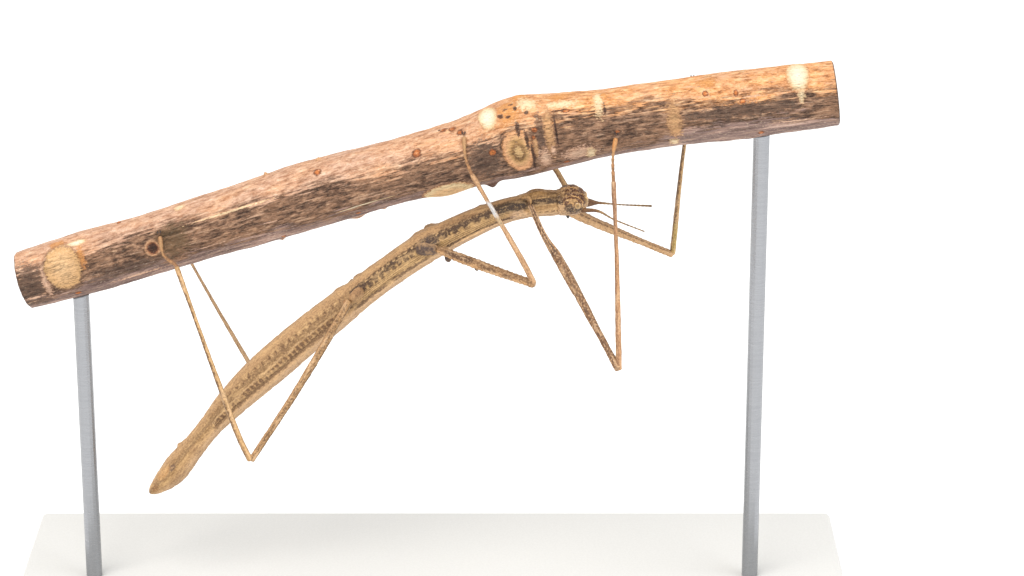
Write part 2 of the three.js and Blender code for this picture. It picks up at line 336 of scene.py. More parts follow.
@dataclass(frozen=True)
class Lump:
    """A closed rounded lump.

    Attributes:
        centre: Its middle.
        size: Its width along each of its own axes.
        tilt: How far its front is raised, in radians.
        points: Number of points round it.
        relief: How far its surface stands out, for unit directions from its middle.
    """

    centre: Point
    size: Point
    tilt: float = 0.0
    points: int = 40
    relief: Callable[[np.ndarray], np.ndarray] | None = None

    def shell(self, finish: int = 0) -> Shell:
        """The lump as a shell, its places being its points in the frame that all pieces share."""
        half = np.array(self.size) / 2
        rows = self.points * 2 // 3
        height = np.linspace(0, math.pi, rows + 1)[1:-1, None]
        round_it = np.linspace(0, 2 * math.pi, self.points + 1)[None, :]
        unit = np.dstack(
            [np.sin(height) * np.cos(round_it), np.sin(height) * np.sin(round_it), np.cos(height) + 0 * round_it]
        )
        ends = np.array([[0.0, 0.0, 1.0], [0.0, 0.0, -1.0]])
        grid, poles = self._placed(unit, half), self._placed(ends, half)
        columns = self.points
        vertex = np.arange((rows - 1) * columns).reshape(rows - 1, columns)
        vertex = np.hstack([vertex, vertex[:, :1]])
        points = np.vstack([grid[:, :-1].reshape(-1, 3), poles])
        cells = np.stack([vertex[:-1, :-1], vertex[1:, :-1], vertex[1:, 1:], vertex[:-1, 1:]], -1)
        faces = [tuple(face) for face in cells.reshape(-1, 4).tolist()]
        top, bottom = len(points) - 2, len(points) - 1
        for j in range(columns):
            faces.append((top, int(vertex[0, j]), int(vertex[0, j + 1])))
            faces.append((bottom, int(vertex[-1, j + 1]), int(vertex[-1, j])))
        order = np.array([k for face in faces for k in face])
        places = points[order]
        flat = places[:, [0, 2]] + np.where(places[:, 1:2] < self.centre[1], 0.0, 1.5 * max(self.size))
        return Shell(points, faces, places, flat, finish)

    def _placed(self, unit: np.ndarray, half: np.ndarray) -> np.ndarray:
        """Unit directions as points on the lump."""
        out = unit * half
        if self.relief is not None:
            out = out + unit * self.relief(unit)[..., None]
        cos, sin = math.cos(self.tilt), math.sin(self.tilt)
        turned = np.stack([out[..., 0] * cos - out[..., 2] * sin, out[..., 1], out[..., 0] * sin + out[..., 2] * cos], -1)
        return turned + np.array(self.centre)


# ---- Shader graphs ----


class Graph:
    """Adds nodes to a node tree and joins them."""

    def __init__(self, tree: bpy.types.NodeTree) -> None:
        """Keeps the tree that nodes are added to."""
        self.tree = tree

    def feed(self, socket: Socket, value: Wire) -> None:
        """Links a socket to an input, or sets the input's value."""
        if isinstance(value, bpy.types.NodeSocket):
            self.tree.links.new(value, socket)
        else:
            socket.default_value = value

    def node(self, kind: str, inputs: Mapping[str | int, Wire], **settings: Any) -> bpy.types.Node:
        """Adds a node.

        Args:
            kind: The node's type name.
            inputs: Values or sockets for its inputs, by name or number.
            **settings: Its other settings.

        Returns:
            The new node.
        """
        node = self.tree.nodes.new(kind)
        for name, value in settings.items():
            setattr(node, name, value)
        for name, value in inputs.items():
            self.feed(node.inputs[name], value)
        return node

    def sums(self, operation: str, *values: Wire, clamp: bool = False) -> Socket:
        """The result of a sum on one to three numbers."""
        inputs = dict(enumerate(values))
        return self.node("ShaderNodeMath", inputs, operation=operation, use_clamp=clamp).outputs[0]

    def vector(self, operation: str, *values: Wire) -> Socket:
        """The vector result of a sum on vectors."""
        inputs = dict(enumerate(values))
        return self.node("ShaderNodeVectorMath", inputs, operation=operation).outputs["Vector"]

    def scaled(self, vector: Wire, by: Point) -> Socket:
        """A vector with each of its parts multiplied."""
        return self.vector("MULTIPLY", vector, by)

    def length(self, vector: Wire) -> Socket:
        """A vector's length."""
        return self.node("ShaderNodeVectorMath", {0: vector}, operation="LENGTH").outputs["Value"]

    def rise(self, value: Wire, low: Wire, high: Wire, first: Wire = 0.0, last: Wire = 1.0) -> Socket:
        """A smooth change from one number to another as a value goes from low to high."""
        inputs = {"Value": value, "From Min": low, "From Max": high, "To Min": first, "To Max": last}
        return self.node("ShaderNodeMapRange", inputs, interpolation_type="SMOOTHSTEP").outputs["Result"]

    def mix(self, share: Wire, first: Wire, second: Wire, blend: str = "MIX") -> Socket:
        """Two colours mixed."""
        inputs = {"Factor": share}
        node = self.node("ShaderNodeMix", inputs, data_type="RGBA", blend_type=blend)
        self.feed(node.inputs[6], first)
        self.feed(node.inputs[7], second)
        return node.outputs[2]

    def ramp(self, value: Wire, stops: Sequence[tuple[float, Colour]]) -> Socket:
        """A colour that changes with a value through stops."""
        node = self.node("ShaderNodeValToRGB", {"Fac": value})
        ramp = node.color_ramp
        ramp.elements[0].position, ramp.elements[0].color = stops[0]
        ramp.elements[1].position, ramp.elements[1].color = stops[-1]
        for place, colour in stops[1:-1]:
            ramp.elements.new(place).color = colour
        return node.outputs["Color"]

    def noise(self, vector: Wire, scale: float, detail: float = 3.0, rough: float = 0.55) -> Socket:
        """Noise between 0 and 1."""
        inputs = {"Vector": vector, "Scale": scale, "Detail": detail, "Roughness": rough}
        return self.node("ShaderNodeTexNoise", inputs).outputs["Fac"]

    def parts(self, vector: Wire) -> tuple[Socket, Socket, Socket]:
        """A vector's three parts."""
        outputs = self.node("ShaderNodeSeparateXYZ", {"Vector": vector}).outputs
        return outputs["X"], outputs["Y"], outputs["Z"]

    def joined(self, x: Wire, y: Wire, z: Wire) -> Socket:
        """A vector from its three parts."""
        return self.node("ShaderNodeCombineXYZ", {"X": x, "Y": y, "Z": z}).outputs["Vector"]

    def place(self) -> Socket:
        """The surface's along, down and near."""
        kind = {"attribute_type": "GEOMETRY", "attribute_name": PLACE}
        return self.node("ShaderNodeAttribute", {}, **kind).outputs["Vector"]

    def effect(self, effect: "Effect", inputs: Mapping[str, Wire]) -> Mapping[str, Socket]:
        """Adds an effect's node group and returns its outputs."""
        node = self.tree.nodes.new("ShaderNodeGroup")
        node.node_tree = effect.tree()
        for name, value in inputs.items():
            self.feed(node.inputs[name], value)
        return node.outputs


@dataclass(frozen=True)
class Effect:
    """A shader node group.

    Attributes:
        name: The group's name.
        inputs: Each input's name with its first value, a vector's being three numbers.
        outputs: Each output's name.
        build: Adds the group's nodes, given its inputs, and returns its outputs by name.
    """

    name: str
    inputs: tuple[tuple[str, Any], ...]
    outputs: tuple[str, ...]
    build: Callable[[Graph, Mapping[str, Socket]], Mapping[str, Socket]]

    def tree(self) -> bpy.types.NodeTree:
        """The node group, made when it is first asked for."""
        known = bpy.data.node_groups.get(self.name)
        return known or self._made()

    def _made(self) -> bpy.types.NodeTree:
        """Makes the node group."""
        tree = bpy.data.node_groups.new(self.name, "ShaderNodeTree")
        for name, value in self.inputs:
            kind = "NodeSocketFloat" if isinstance(value, float) else "NodeSocketVector"
            socket = tree.interface.new_socket(name, in_out="INPUT", socket_type=kind)
            socket.default_value = value
        for name in self.outputs:
            tree.interface.new_socket(name, in_out="OUTPUT", socket_type="NodeSocketFloat")
        graph = Graph(tree)
        inside = tree.nodes.new("NodeGroupInput").outputs
        made = self.build(graph, {name: inside[name] for name, _ in self.inputs})
        graph.node("NodeGroupOutput", made)
        return tree


def build_angles(graph: Graph, given: Mapping[str, Socket]) -> Mapping[str, Socket]:
    """Splits a place into its distance along and its angles."""
    along, down, near = graph.parts(given["Place"])
    turn = graph.sums("MULTIPLY", graph.sums("ARCTAN2", near, down), 180 / math.pi)
    return {"Along": along, "Turn": turn, "Angle": graph.sums("ABSOLUTE", turn)}


def build_band(graph: Graph, given: Mapping[str, Socket]) -> Mapping[str, Socket]:
    """Marks the values between a low one and a high one."""
    half = graph.sums("MULTIPLY", given["Soft"], 0.5)
    edges = [(graph.sums("SUBTRACT", given[end], half), graph.sums("ADD", given[end], half)) for end in ("Low", "High")]
    inside = graph.rise(given["Value"], *edges[0])
    return {"Mask": graph.sums("MULTIPLY", inside, graph.rise(given["Value"], *edges[1], 1.0, 0.0))}


def build_row(graph: Graph, given: Mapping[str, Socket]) -> Mapping[str, Socket]:
    """Marks a row of dashes, or a line where their fill is above 1."""
    shift = graph.sums("MULTIPLY", given["Noise"], given["Ragged"])
    angle = graph.sums("MULTIPLY_ADD", shift, 18.0, given["Angle"])
    along = graph.sums("MULTIPLY_ADD", shift, 1.4, given["Along"])
    sides = {"Value": angle, "Low": given["Low"], "High": given["High"], "Soft": given["Soft"]}
    ends = {"Value": along, "Low": given["From"], "High": given["To"], "Soft": 1.2}
    inside = graph.sums("MULTIPLY", graph.effect(BAND, sides)["Mask"], graph.effect(BAND, ends)["Mask"])
    wave = graph.sums("PINGPONG", graph.sums("DIVIDE", along, graph.sums("MULTIPLY", given["Spacing"], 0.5)), 1.0)
    edge = graph.sums("MULTIPLY_ADD", shift, 1.6, given["Fill"])
    low, high = graph.sums("SUBTRACT", edge, 0.25), graph.sums("ADD", edge, 0.25)
    return {"Mask": graph.sums("MULTIPLY", inside, graph.rise(wave, low, high, 1.0, 0.0))}


def build_patch(graph: Graph, given: Mapping[str, Socket]) -> Mapping[str, Socket]:
    """Measures how far a place is from a patch, 1 being its edge, and keeps the least so far."""
    away = graph.vector("MULTIPLY", graph.vector("SUBTRACT", given["Place"], given["Centre"]), given["Per Reach"])
    return {"Least": graph.sums("MINIMUM", graph.length(away), given["So Far"])}


def build_streaks(graph: Graph, given: Mapping[str, Socket]) -> Mapping[str, Socket]:
    """Fine streaks that run along a limb, and coarser mottling."""
    drawn = graph.vector("MULTIPLY", given["Place"], given["Stretch"])
    return {"Fine": graph.noise(drawn, 1.0, 4.0, 0.6), "Coarse": graph.noise(drawn, 0.31, 3.0, 0.55)}


ANGLES = Effect("Angles", (("Place", (0, 0, 0)),), ("Along", "Turn", "Angle"), build_angles)
BAND = Effect("Band", (("Value", 0.0), ("Low", 0.0), ("High", 1.0), ("Soft", 0.1)), ("Mask",), build_band)
ROW = Effect(
    "Row of Marks",
    (
        ("Along", 0.0), ("Angle", 0.0), ("Noise", 0.0), ("Low", 0.0), ("High", 1.0), ("Soft", 5.0),
        ("From", 0.0), ("To", 1.0), ("Spacing", 1.0), ("Fill", 0.5), ("Ragged", 0.3),
    ),
    ("Mask",),
    build_row,
)
PATCH = Effect(
    "Patch", (("Place", (0, 0, 0)), ("Centre", (0, 0, 0)), ("Per Reach", (1, 1, 1)), ("So Far", 9.0)), ("Least",), build_patch
)
STREAKS = Effect("Streaks", (("Place", (0, 0, 0)), ("Stretch", (1, 1, 1))), ("Fine", "Coarse"), build_streaks)


# ---- Finishes ----


@dataclass(frozen=True)
class Row:
    """A row of marks along a limb or the body.

    Attributes:
        colour: The marks' colour.
        low: The least angle from the underside.
        high: The greatest angle.
        start: Where the row starts along.
        stop: Where it stops.
        spacing: From one mark to the next.
        fill: The share of the spacing that is marked; above 1 it is an unbroken line.
        strength: How far the marks cover what is under them.
        soft: How soft their sides are, in degrees.
        ragged: How uneven they are.
        raised: How far they stand out, against the finish's bump.
    """

    colour: Colour
    low: float
    high: float
    start: float
    stop: float
    spacing: float = 1.0
    fill: float = 1.6
    strength: float = 0.8
    soft: float = 6.0
    ragged: float = 0.5
    raised: float = 0.0


@dataclass(frozen=True)
class Patch:
    """A patch of colour.

    Attributes:
        colour: The patch's colour.
        along: Its middle, along.
        turn: Its middle, round.
        reach: Half its length and half its width.
        strength: How far it covers what is under it.
        edge: Where its edge starts to fade, as a share of its reach.
    """

    colour: Colour
    along: float
    turn: float
    reach: tuple[float, float]
    strength: float = 0.85
    edge: float = 0.6


def new_material(name: str) -> tuple[bpy.types.Material, Graph, bpy.types.Node]:
    """A new material with its graph and its surface node."""
    material = bpy.data.materials.new(name)
    material.use_nodes = True
    graph = Graph(material.node_tree)
    return material, graph, material.node_tree.nodes["Principled BSDF"]


def bumped(graph: Graph, surface: bpy.types.Node, height: Wire, distance: float, strength: float = 1.0) -> None:
    """Gives a surface a bump, its distance being in millimetres."""
    inputs = {"Strength": strength, "Distance": distance * METRES, "Height": height}
    graph.feed(surface.inputs["Normal"], graph.node("ShaderNodeBump", inputs).outputs["Normal"])


@dataclass(frozen=True)
class Cuticle:
    """The insect's skin, with its ground colours, rows of marks and patches.

    Attributes:
        name: The material's name.
        ground: Colours by the angle from the underside, 0 to 1 being 0 to 180 degrees.
        streak: The colour of dark streaks and specks.
        streaks: How strong the streaks are.
        glow: The colour of pale streaks and flecks.
        rows: Rows of marks, the last on top.
        patches: Patches, the last on top.
        radius: The limb's radius, which places the patches.
        stretch: How the streaks are drawn out: along, and twice across.
        specks: How strong the dark specks are.
        flecks: How strong the pale flecks are.
    """

    name: str
    ground: tuple[tuple[float, Colour], ...]
    streak: Colour = tone(104, 74, 50)
    streaks: float = 0.5
    glow: Colour = tone(240, 205, 160)
    rows: tuple[Row, ...] = ()
    patches: tuple[Patch, ...] = ()
    radius: Callable[[float], float] = field(default=lambda along: 1.0)
    stretch: Point = (0.9, 4.5, 4.5)
    specks: float = 0.35
    flecks: float = 0.15

    def material(self) -> bpy.types.Material:
        """Makes the skin's material."""
        material, graph, surface = new_material(self.name)
        place = graph.place()
        angles = graph.effect(ANGLES, {"Place": place})
        streaks = graph.effect(STREAKS, {"Place": place, "Stretch": self.stretch})
        fine, coarse = streaks["Fine"], streaks["Coarse"]
        noise = graph.sums("MULTIPLY_ADD", graph.noise(place, 1.9, 3.0), 2.0, -1.0)
        colour = graph.ramp(graph.sums("DIVIDE", angles["Angle"], 180.0), self.ground)
        height = fine
        for row in self.rows:
            colour, height = self._with_row(graph, row, (colour, height), angles, noise)
        mirrored = self._mirrored(graph, place)
        for patch in self.patches:
            colour = self._with_patch(graph, patch, colour, mirrored, noise)
        dark = graph.rise(fine, 0.5, 0.64)
        colour = graph.mix(graph.sums("MULTIPLY", dark, self.streaks), colour, self.streak)
        pale = graph.rise(coarse, 0.5, 0.66)
        colour = graph.mix(graph.sums("MULTIPLY", pale, self.streaks), colour, self.glow)
        grain = graph.noise(graph.vector("ADD", place, (7.0, 3.0, 5.0)), 3.0, 2.0, 0.6)
        colour = graph.mix(graph.rise(grain, 0.53, 0.63, 0.0, self.specks), colour, self.streak)
        colour = graph.mix(graph.rise(grain, 0.47, 0.37, 0.0, self.flecks), colour, self.glow)
        graph.feed(surface.inputs["Base Color"], colour)
        graph.feed(surface.inputs["Roughness"], graph.rise(fine, 0.3, 0.7, 0.5, 0.68))
        surface.inputs["Specular IOR Level"].default_value = 0.35
        bumped(graph, surface, graph.sums("MULTIPLY_ADD", grain, -0.5, height), 0.1, 0.9)
        return material

    def _with_row(
        self,
        graph: Graph,
        row: Row,
        so_far: tuple[Socket, Socket],
        angles: Mapping[str, Socket],
        noise: Socket,
    ) -> tuple[Socket, Socket]:
        """The colour and the height with one more row of marks."""
        inputs = {
            "Along": angles["Along"],
            "Angle": angles["Angle"],
            "Noise": noise,
            "Low": row.low,
            "High": row.high,
            "Soft": row.soft,
            "From": row.start,
            "To": row.stop,
            "Spacing": row.spacing,
            "Fill": row.fill,
            "Ragged": row.ragged,
        }
        mask = graph.effect(ROW, inputs)["Mask"]
        colour = graph.mix(graph.sums("MULTIPLY", mask, row.strength), so_far[0], row.colour)
        if not row.raised:
            return colour, so_far[1]
        return colour, graph.sums("MULTIPLY_ADD", mask, row.raised, so_far[1])

    def _with_patch(
        self, graph: Graph, patch: Patch, colour: Socket, place: Socket, noise: Socket
    ) -> Socket:
        """The colour with one more patch."""
        out, angle = self.radius(patch.along), math.radians(patch.turn)
        centre = (patch.along, out * math.cos(angle), out * math.sin(angle))
        long, wide = patch.reach
        inputs = {"Place": place, "Centre": centre, "Per Reach": (1 / long, 1 / wide, 1 / wide)}
        away = graph.effect(PATCH, inputs)["Least"]
        away = graph.sums("MULTIPLY_ADD", noise, 0.45, away)
        share = graph.rise(away, patch.edge, 1.15, patch.strength, 0.0)
        return graph.mix(share, colour, patch.colour)

    @staticmethod
    def _mirrored(graph: Graph, place: Socket) -> Socket:
        """A place with both of its sides taken as the near one."""
        along, down, near = graph.parts(place)
        return graph.joined(along, down, graph.sums("ABSOLUTE", near))


# ---- Colours ----

BROWN = tone(104, 74, 50)
DARK = tone(74, 52, 38)
UMBER = tone(132, 98, 66)
OLIVE = tone(160, 126, 84)
TAN = tone(205, 163, 115)
PALE = tone(228, 190, 144)
PEACH = tone(236, 196, 152)
GOLD = tone(205, 160, 88)
CREAM = tone(240, 216, 178)
ORANGE = tone(222, 150, 84)
GLOW = tone(244, 200, 142)
RUST = tone(176, 98, 52)


# ---- The insect ----


@dataclass(frozen=True)
class Trunk:
    """The body from the tail's tip to the neck, and the skull in front of it.

    Attributes:
        spine: The midline.
        height: The body's height at distances from the tail's tip.
        wide: Its width over its height.
        neck: Where the skull starts.
        joints: Where its segments meet.
        ridge: The angle of the ridge on each side at distances from the tail's tip.
        swellings: Rounded places, as along, angle, reach along and how far they stand out.
    """

    spine: tuple[Point, ...] = (
        (-53, 0, 25),
        (-49.3, 0, 28.5),
        (-45, 0, 33.9),
        (-37.4, 0, 43.2),
        (-27.3, 0, 52.9),
        (-14.8, 0, 63.5),
        (-0.8, 0, 73.9),
        (13.2, 0, 80.8),
        (21.9, 0, 82.4),
        (28.9, 0, 82.9),
    )
    height: Pairs = (
        (0, 1.4),
        (4.8, 4.3),
        (7.4, 4.85),
        (12, 4.3),
        (16.9, 4.05),
        (24, 5.4),
        (33, 6.65),
        (45, 6.55),
        (52, 6.2),
        (55.5, 5.7),
        (71, 5.65),
        (80, 5.1),
        (90, 4.3),
        (97, 4.6),
        (100.2, 5.0),
        (101.8, 4.3),
        (102.9, 3.2),
        (103.6, 2.2),
    )
    wide: float = 1.04
    neck: float = 98.0
    joints: tuple[float, ...] = (4.6, 8.3, 13.2, 18.6, 25.2, 32.4, 39.8, 47.2, 54.4, 72.2, 92.3, 97.4)
    ridge: Pairs = (
        (17, 76),
        (24, 71),
        (40, 68),
        (54, 76),
        (58, 68),
        (72, 74),
        (78, 62),
        (88, 68),
        (92, 74),
    )
    swellings: tuple[tuple[float, float, float, float], ...] = (
        (54.2, 160, 1.1, 0.35),
        (72.2, 160, 1.6, 0.5),
        (74.6, 172, 0.9, 0.35),
        (84.2, 172, 0.6, 0.2),
        (94.0, 166, 1.9, 0.75),
        (61.0, 176, 2.4, 0.15),
        (72.9, 108, 2.0, 0.2),
        (55.6, 104, 1.4, 0.2),
    )

    def radius(self, along: float) -> float:
        """Half the body's height at one place."""
        return float(Profile(self.height)(np.array([along]))[0]) / 2

    def _relief(self, along: np.ndarray, turn: np.ndarray) -> np.ndarray:
        """How far the surface stands out from the plain body."""
        angle = np.abs(turn) + 0 * along
        half = Profile(self.height)(along) / 2
        grain = Grain(11)
        cross = [half * f(np.radians(turn)) for f in (np.cos, np.sin)]
        places = np.stack(np.broadcast_arrays(along * 0.7, *(part * 2.2 for part in cross)), -1)
        small = np.stack(np.broadcast_arrays(along * 2.6, *(part * 3.0 for part in cross)), -1)
        belly = within(along, 19, 96, 4)
        line = angle - Profile(self.ridge)(along)
        total = 0.045 * grain.layered(places, 4) + 0.03 * grain.layered(small, 2)
        total = total + belly * (0.17 * hump(line, -10, 7) - 0.2 * hump(line, 3, 5) + 0.08 * hump(line, 29, 5))
        total = total - belly * 0.09 * hump(line, 37, 4)
        total = total + belly * 0.08 * hump(line, 58, 6) * np.cos(along * 2 * math.pi / 0.95)
        ribs = within(angle, 74, 100, 6) * within(along, 57, 86, 4)
        total = total + ribs * 0.06 * np.cos(np.radians((angle - 76) * 360 / 7.5))
        for joint in self.joints:
            total = total - 0.08 * hump(along, joint, 0.26) + 0.03 * hump(along, joint - 0.9, 0.6)
        for place, middle, reach, out in self.swellings:
            total = total + out * hump(along, place, reach) * hump(angle, middle, 24)
        tail = 0.4 * hump(along, 11.4, 0.4) * hump(angle, 180, 26)
        keel = 0.16 * hump(angle, 0, 22) * within(along, 3, 90, 6)
        return total + tail + keel

    def _loft(self, start: float, end: float, rings: int, ends: tuple[float, float]) -> Loft:
        """A length of the body as a loft."""
        height = Profile(self.height)

        def radius(along: np.ndarray, turn: np.ndarray) -> np.ndarray:
            """Radii with the surface's relief."""
            return height(along) / 2 + self._relief(along, turn) * within(along, 0.8, 103.2, 1.5)

        return Loft(Route(self.spine), radius, rings, 84, start, end, ends, (1.0, 0.92), self.wide)

    def loft(self) -> Loft:
        """The body behind the neck."""
        return self._loft(0.0, self.neck, 480, (1.3, 0.5))

    def skull(self) -> Loft:
        """The skull."""
        return self._loft(self.neck - 0.9, Route(self.spine).length, 46, (0.9, 1.3))

    def finish(self) -> Cuticle:
        """The body's finish."""
        ground = (
            (0.0, tone(186, 148, 112)),
            (0.16, tone(206, 166, 126)),
            (0.3, tone(232, 190, 146)),
            (0.37, tone(214, 172, 126)),
            (0.43, TAN),
            (0.54, tone(176, 136, 88)),
            (0.62, tone(158, 124, 86)),
            (0.7, tone(166, 128, 86)),
            (0.76, tone(190, 150, 106)),
            (0.9, tone(214, 170, 122)),
            (1.0, tone(200, 158, 112)),
        )
        rows = (
            Row(BROWN, 66, 79, 19, 51, strength=0.7, raised=-1.0),
            Row(tone(112, 80, 56), 76, 97, 19, 55, 1.05, 0.68, 0.9, 6, 0.28),
            Row(tone(222, 184, 140), 97, 103, 19, 54, strength=0.5, soft=4),
            Row(tone(146, 112, 74), 103, 111, 19, 54, strength=0.7, soft=5),
            Row(tone(106, 74, 50), 119, 133, 24, 54, 0.85, 0.45, 0.85, 5, 0.5),
            Row(GLOW, 121, 132, 26, 54, 1.7, 0.26, 0.6, 4, 0.5),
            Row(DARK, 62, 73, 55, 72, strength=0.75, raised=-1.0),
            Row(tone(208, 168, 112), 74, 98, 57, 88, strength=0.85),
            Row(BROWN, 77.5, 80, 57, 88, strength=0.9, soft=2.5, ragged=0.16),
            Row(BROWN, 84.5, 87, 57, 88, strength=0.9, soft=2.5, ragged=0.16),
            Row(BROWN, 91.5, 94, 57, 88, strength=0.9, soft=2.5, ragged=0.16),
            Row(tone(74, 52, 36), 97, 136, 56, 92, strength=0.95, soft=9),
            Row(tone(202, 162, 106), 97, 114, 58, 73, 1.35, 0.36, 0.85, 7, 0.5),
            Row(tone(202, 162, 106), 90, 112, 75, 92, 2.1, 0.35, 0.85, 7, 0.5),
            Row(GLOW, 127, 133, 57, 90, 1.3, 0.4, 0.65, 4, 0.5),
            Row(DARK, 60, 68, 75.5, 90, strength=0.9, soft=4, ragged=0.3, raised=-1.0),
            Row(GLOW, 69, 73, 75.5, 92, strength=0.7, soft=3, ragged=0.3),
            Row(BROWN, 128, 158, 76, 92, strength=0.4, soft=16),
            Row(tone(58, 46, 38), 92, 148, 86.0, 92.6, strength=0.85, soft=12),
            Row(tone(84, 58, 42), 67, 73, 88.5, 98.4, 1.1, 0.6, 0.9, 4, 0.4),
            Row(BROWN, 44, 50, 76, 98.4, strength=0.6, soft=4, ragged=0.4),
            Row(tone(110, 82, 50), 105, 166, 92.6, 99, strength=0.85, soft=10),
            Row(tone(70, 50, 34), 106, 132, 92.6, 99, strength=0.85, soft=8),
        )
        patches = (
            Patch(tone(116, 88, 72), 7.8, 115, (0.9, 0.6)),
            Patch(tone(160, 114, 72), 2.0, 105, (1.0, 0.8), 0.6),
            Patch(tone(220, 164, 104), 5.6, 130, (2.2, 0.9), 0.6),
            Patch(tone(166, 126, 90), 13.4, 70, (1.2, 1.6), 0.5),
            Patch(tone(160, 122, 84), 7.0, 60, (3.0, 0.8), 0.5),
            Patch(UMBER, 39.7, 122, (0.7, 1.5), 0.7),
            Patch(tone(214, 150, 100), 54.5, 105, (0.7, 0.7), 0.9),
            Patch(DARK, 55.2, 82, (1.2, 0.4), 0.95),
            Patch(tone(80, 58, 46), 57.8, 118, (1.9, 1.0), 0.8),
            Patch(tone(76, 60, 54), 73.2, 110, (2.3, 1.7), 0.9),
            Patch(tone(226, 190, 158), 90.5, 72, (1.8, 0.9), 0.6),
            Patch(tone(206, 158, 98), 94.2, 162, (2.4, 1.0), 0.75),
            Patch(tone(232, 184, 120), 94.4, 140, (2.6, 0.28), 0.8),
            Patch(tone(70, 50, 34), 94.6, 132, (2.6, 0.2), 0.8),
        )
        return Cuticle(
            "cuticle_trunk", ground, BROWN, 0.4, GLOW, rows, patches, self.radius, (0.8, 4.0, 4.0), 0.32, 0.25
        )


@dataclass(frozen=True)
class Head:
    """The rounded mouth and its small feelers.

    Attributes:
        mouth: The rounded mouthparts.
        feelers: The midlines of the small feelers of the mouth on the near side.
    """

    mouth: Lump = Lump((25.8, 0, 84.1), (5.0, 4.3, 3.5), -0.15, 60)
    feelers: tuple[tuple[Point, ...], ...] = (
        ((27.6, -0.9, 84.3), (28.3, -1.2, 84.0), (28.5, -1.25, 83.3)),
        ((27.0, -1.5, 84.2), (27.8, -1.9, 84.0), (28.0, -2.0, 83.4)),
    )

    @staticmethod
    def _ridges(unit: np.ndarray) -> np.ndarray:
        """The curved ridges of the mouthparts."""
        bent = np.hypot(unit[..., 0] + 0.35, unit[..., 2] * 0.9 + 0.1)
        lines = np.cos(bent * 2 * math.pi / 0.26)
        return 0.06 * lines + 0.05 * Grain(5).layered(unit * 5.0, 3)

    @staticmethod
    def _in_frame(shell: Shell) -> Shell:
        """The shell with its places given as points in the frame that all pieces share."""
        shell.places = np.vstack([shell.points[list(face)] for face in shell.faces])
        return shell

    def shells(self, skull: Loft, finish: int) -> list[Shell]:
        """The skull, the mouth and its feelers as shells."""
        mouth = Lump(self.mouth.centre, self.mouth.size, self.mouth.tilt, self.mouth.points, self._ridges)
        made = [self._in_frame(skull.shell(finish)), mouth.shell(finish)]
        radius = Profile([(0, 0.28), (0.5, 0.22), (1.1, 0.24), (1.6, 0.18)])
        for line, side in itertools.product(self.feelers, SIDES.values()):
            route = Route([(x, -y * side, z) for x, y, z in line])
            loft = Loft(route, lambda along, turn: radius(along) + 0 * turn, 10, 12, rounding=(0.1, 0.25))
            made.append(self._in_frame(loft.shell(finish)))
        return made

    def finish(self) -> "HeadFinish":
        """The head's finish."""
        return HeadFinish()


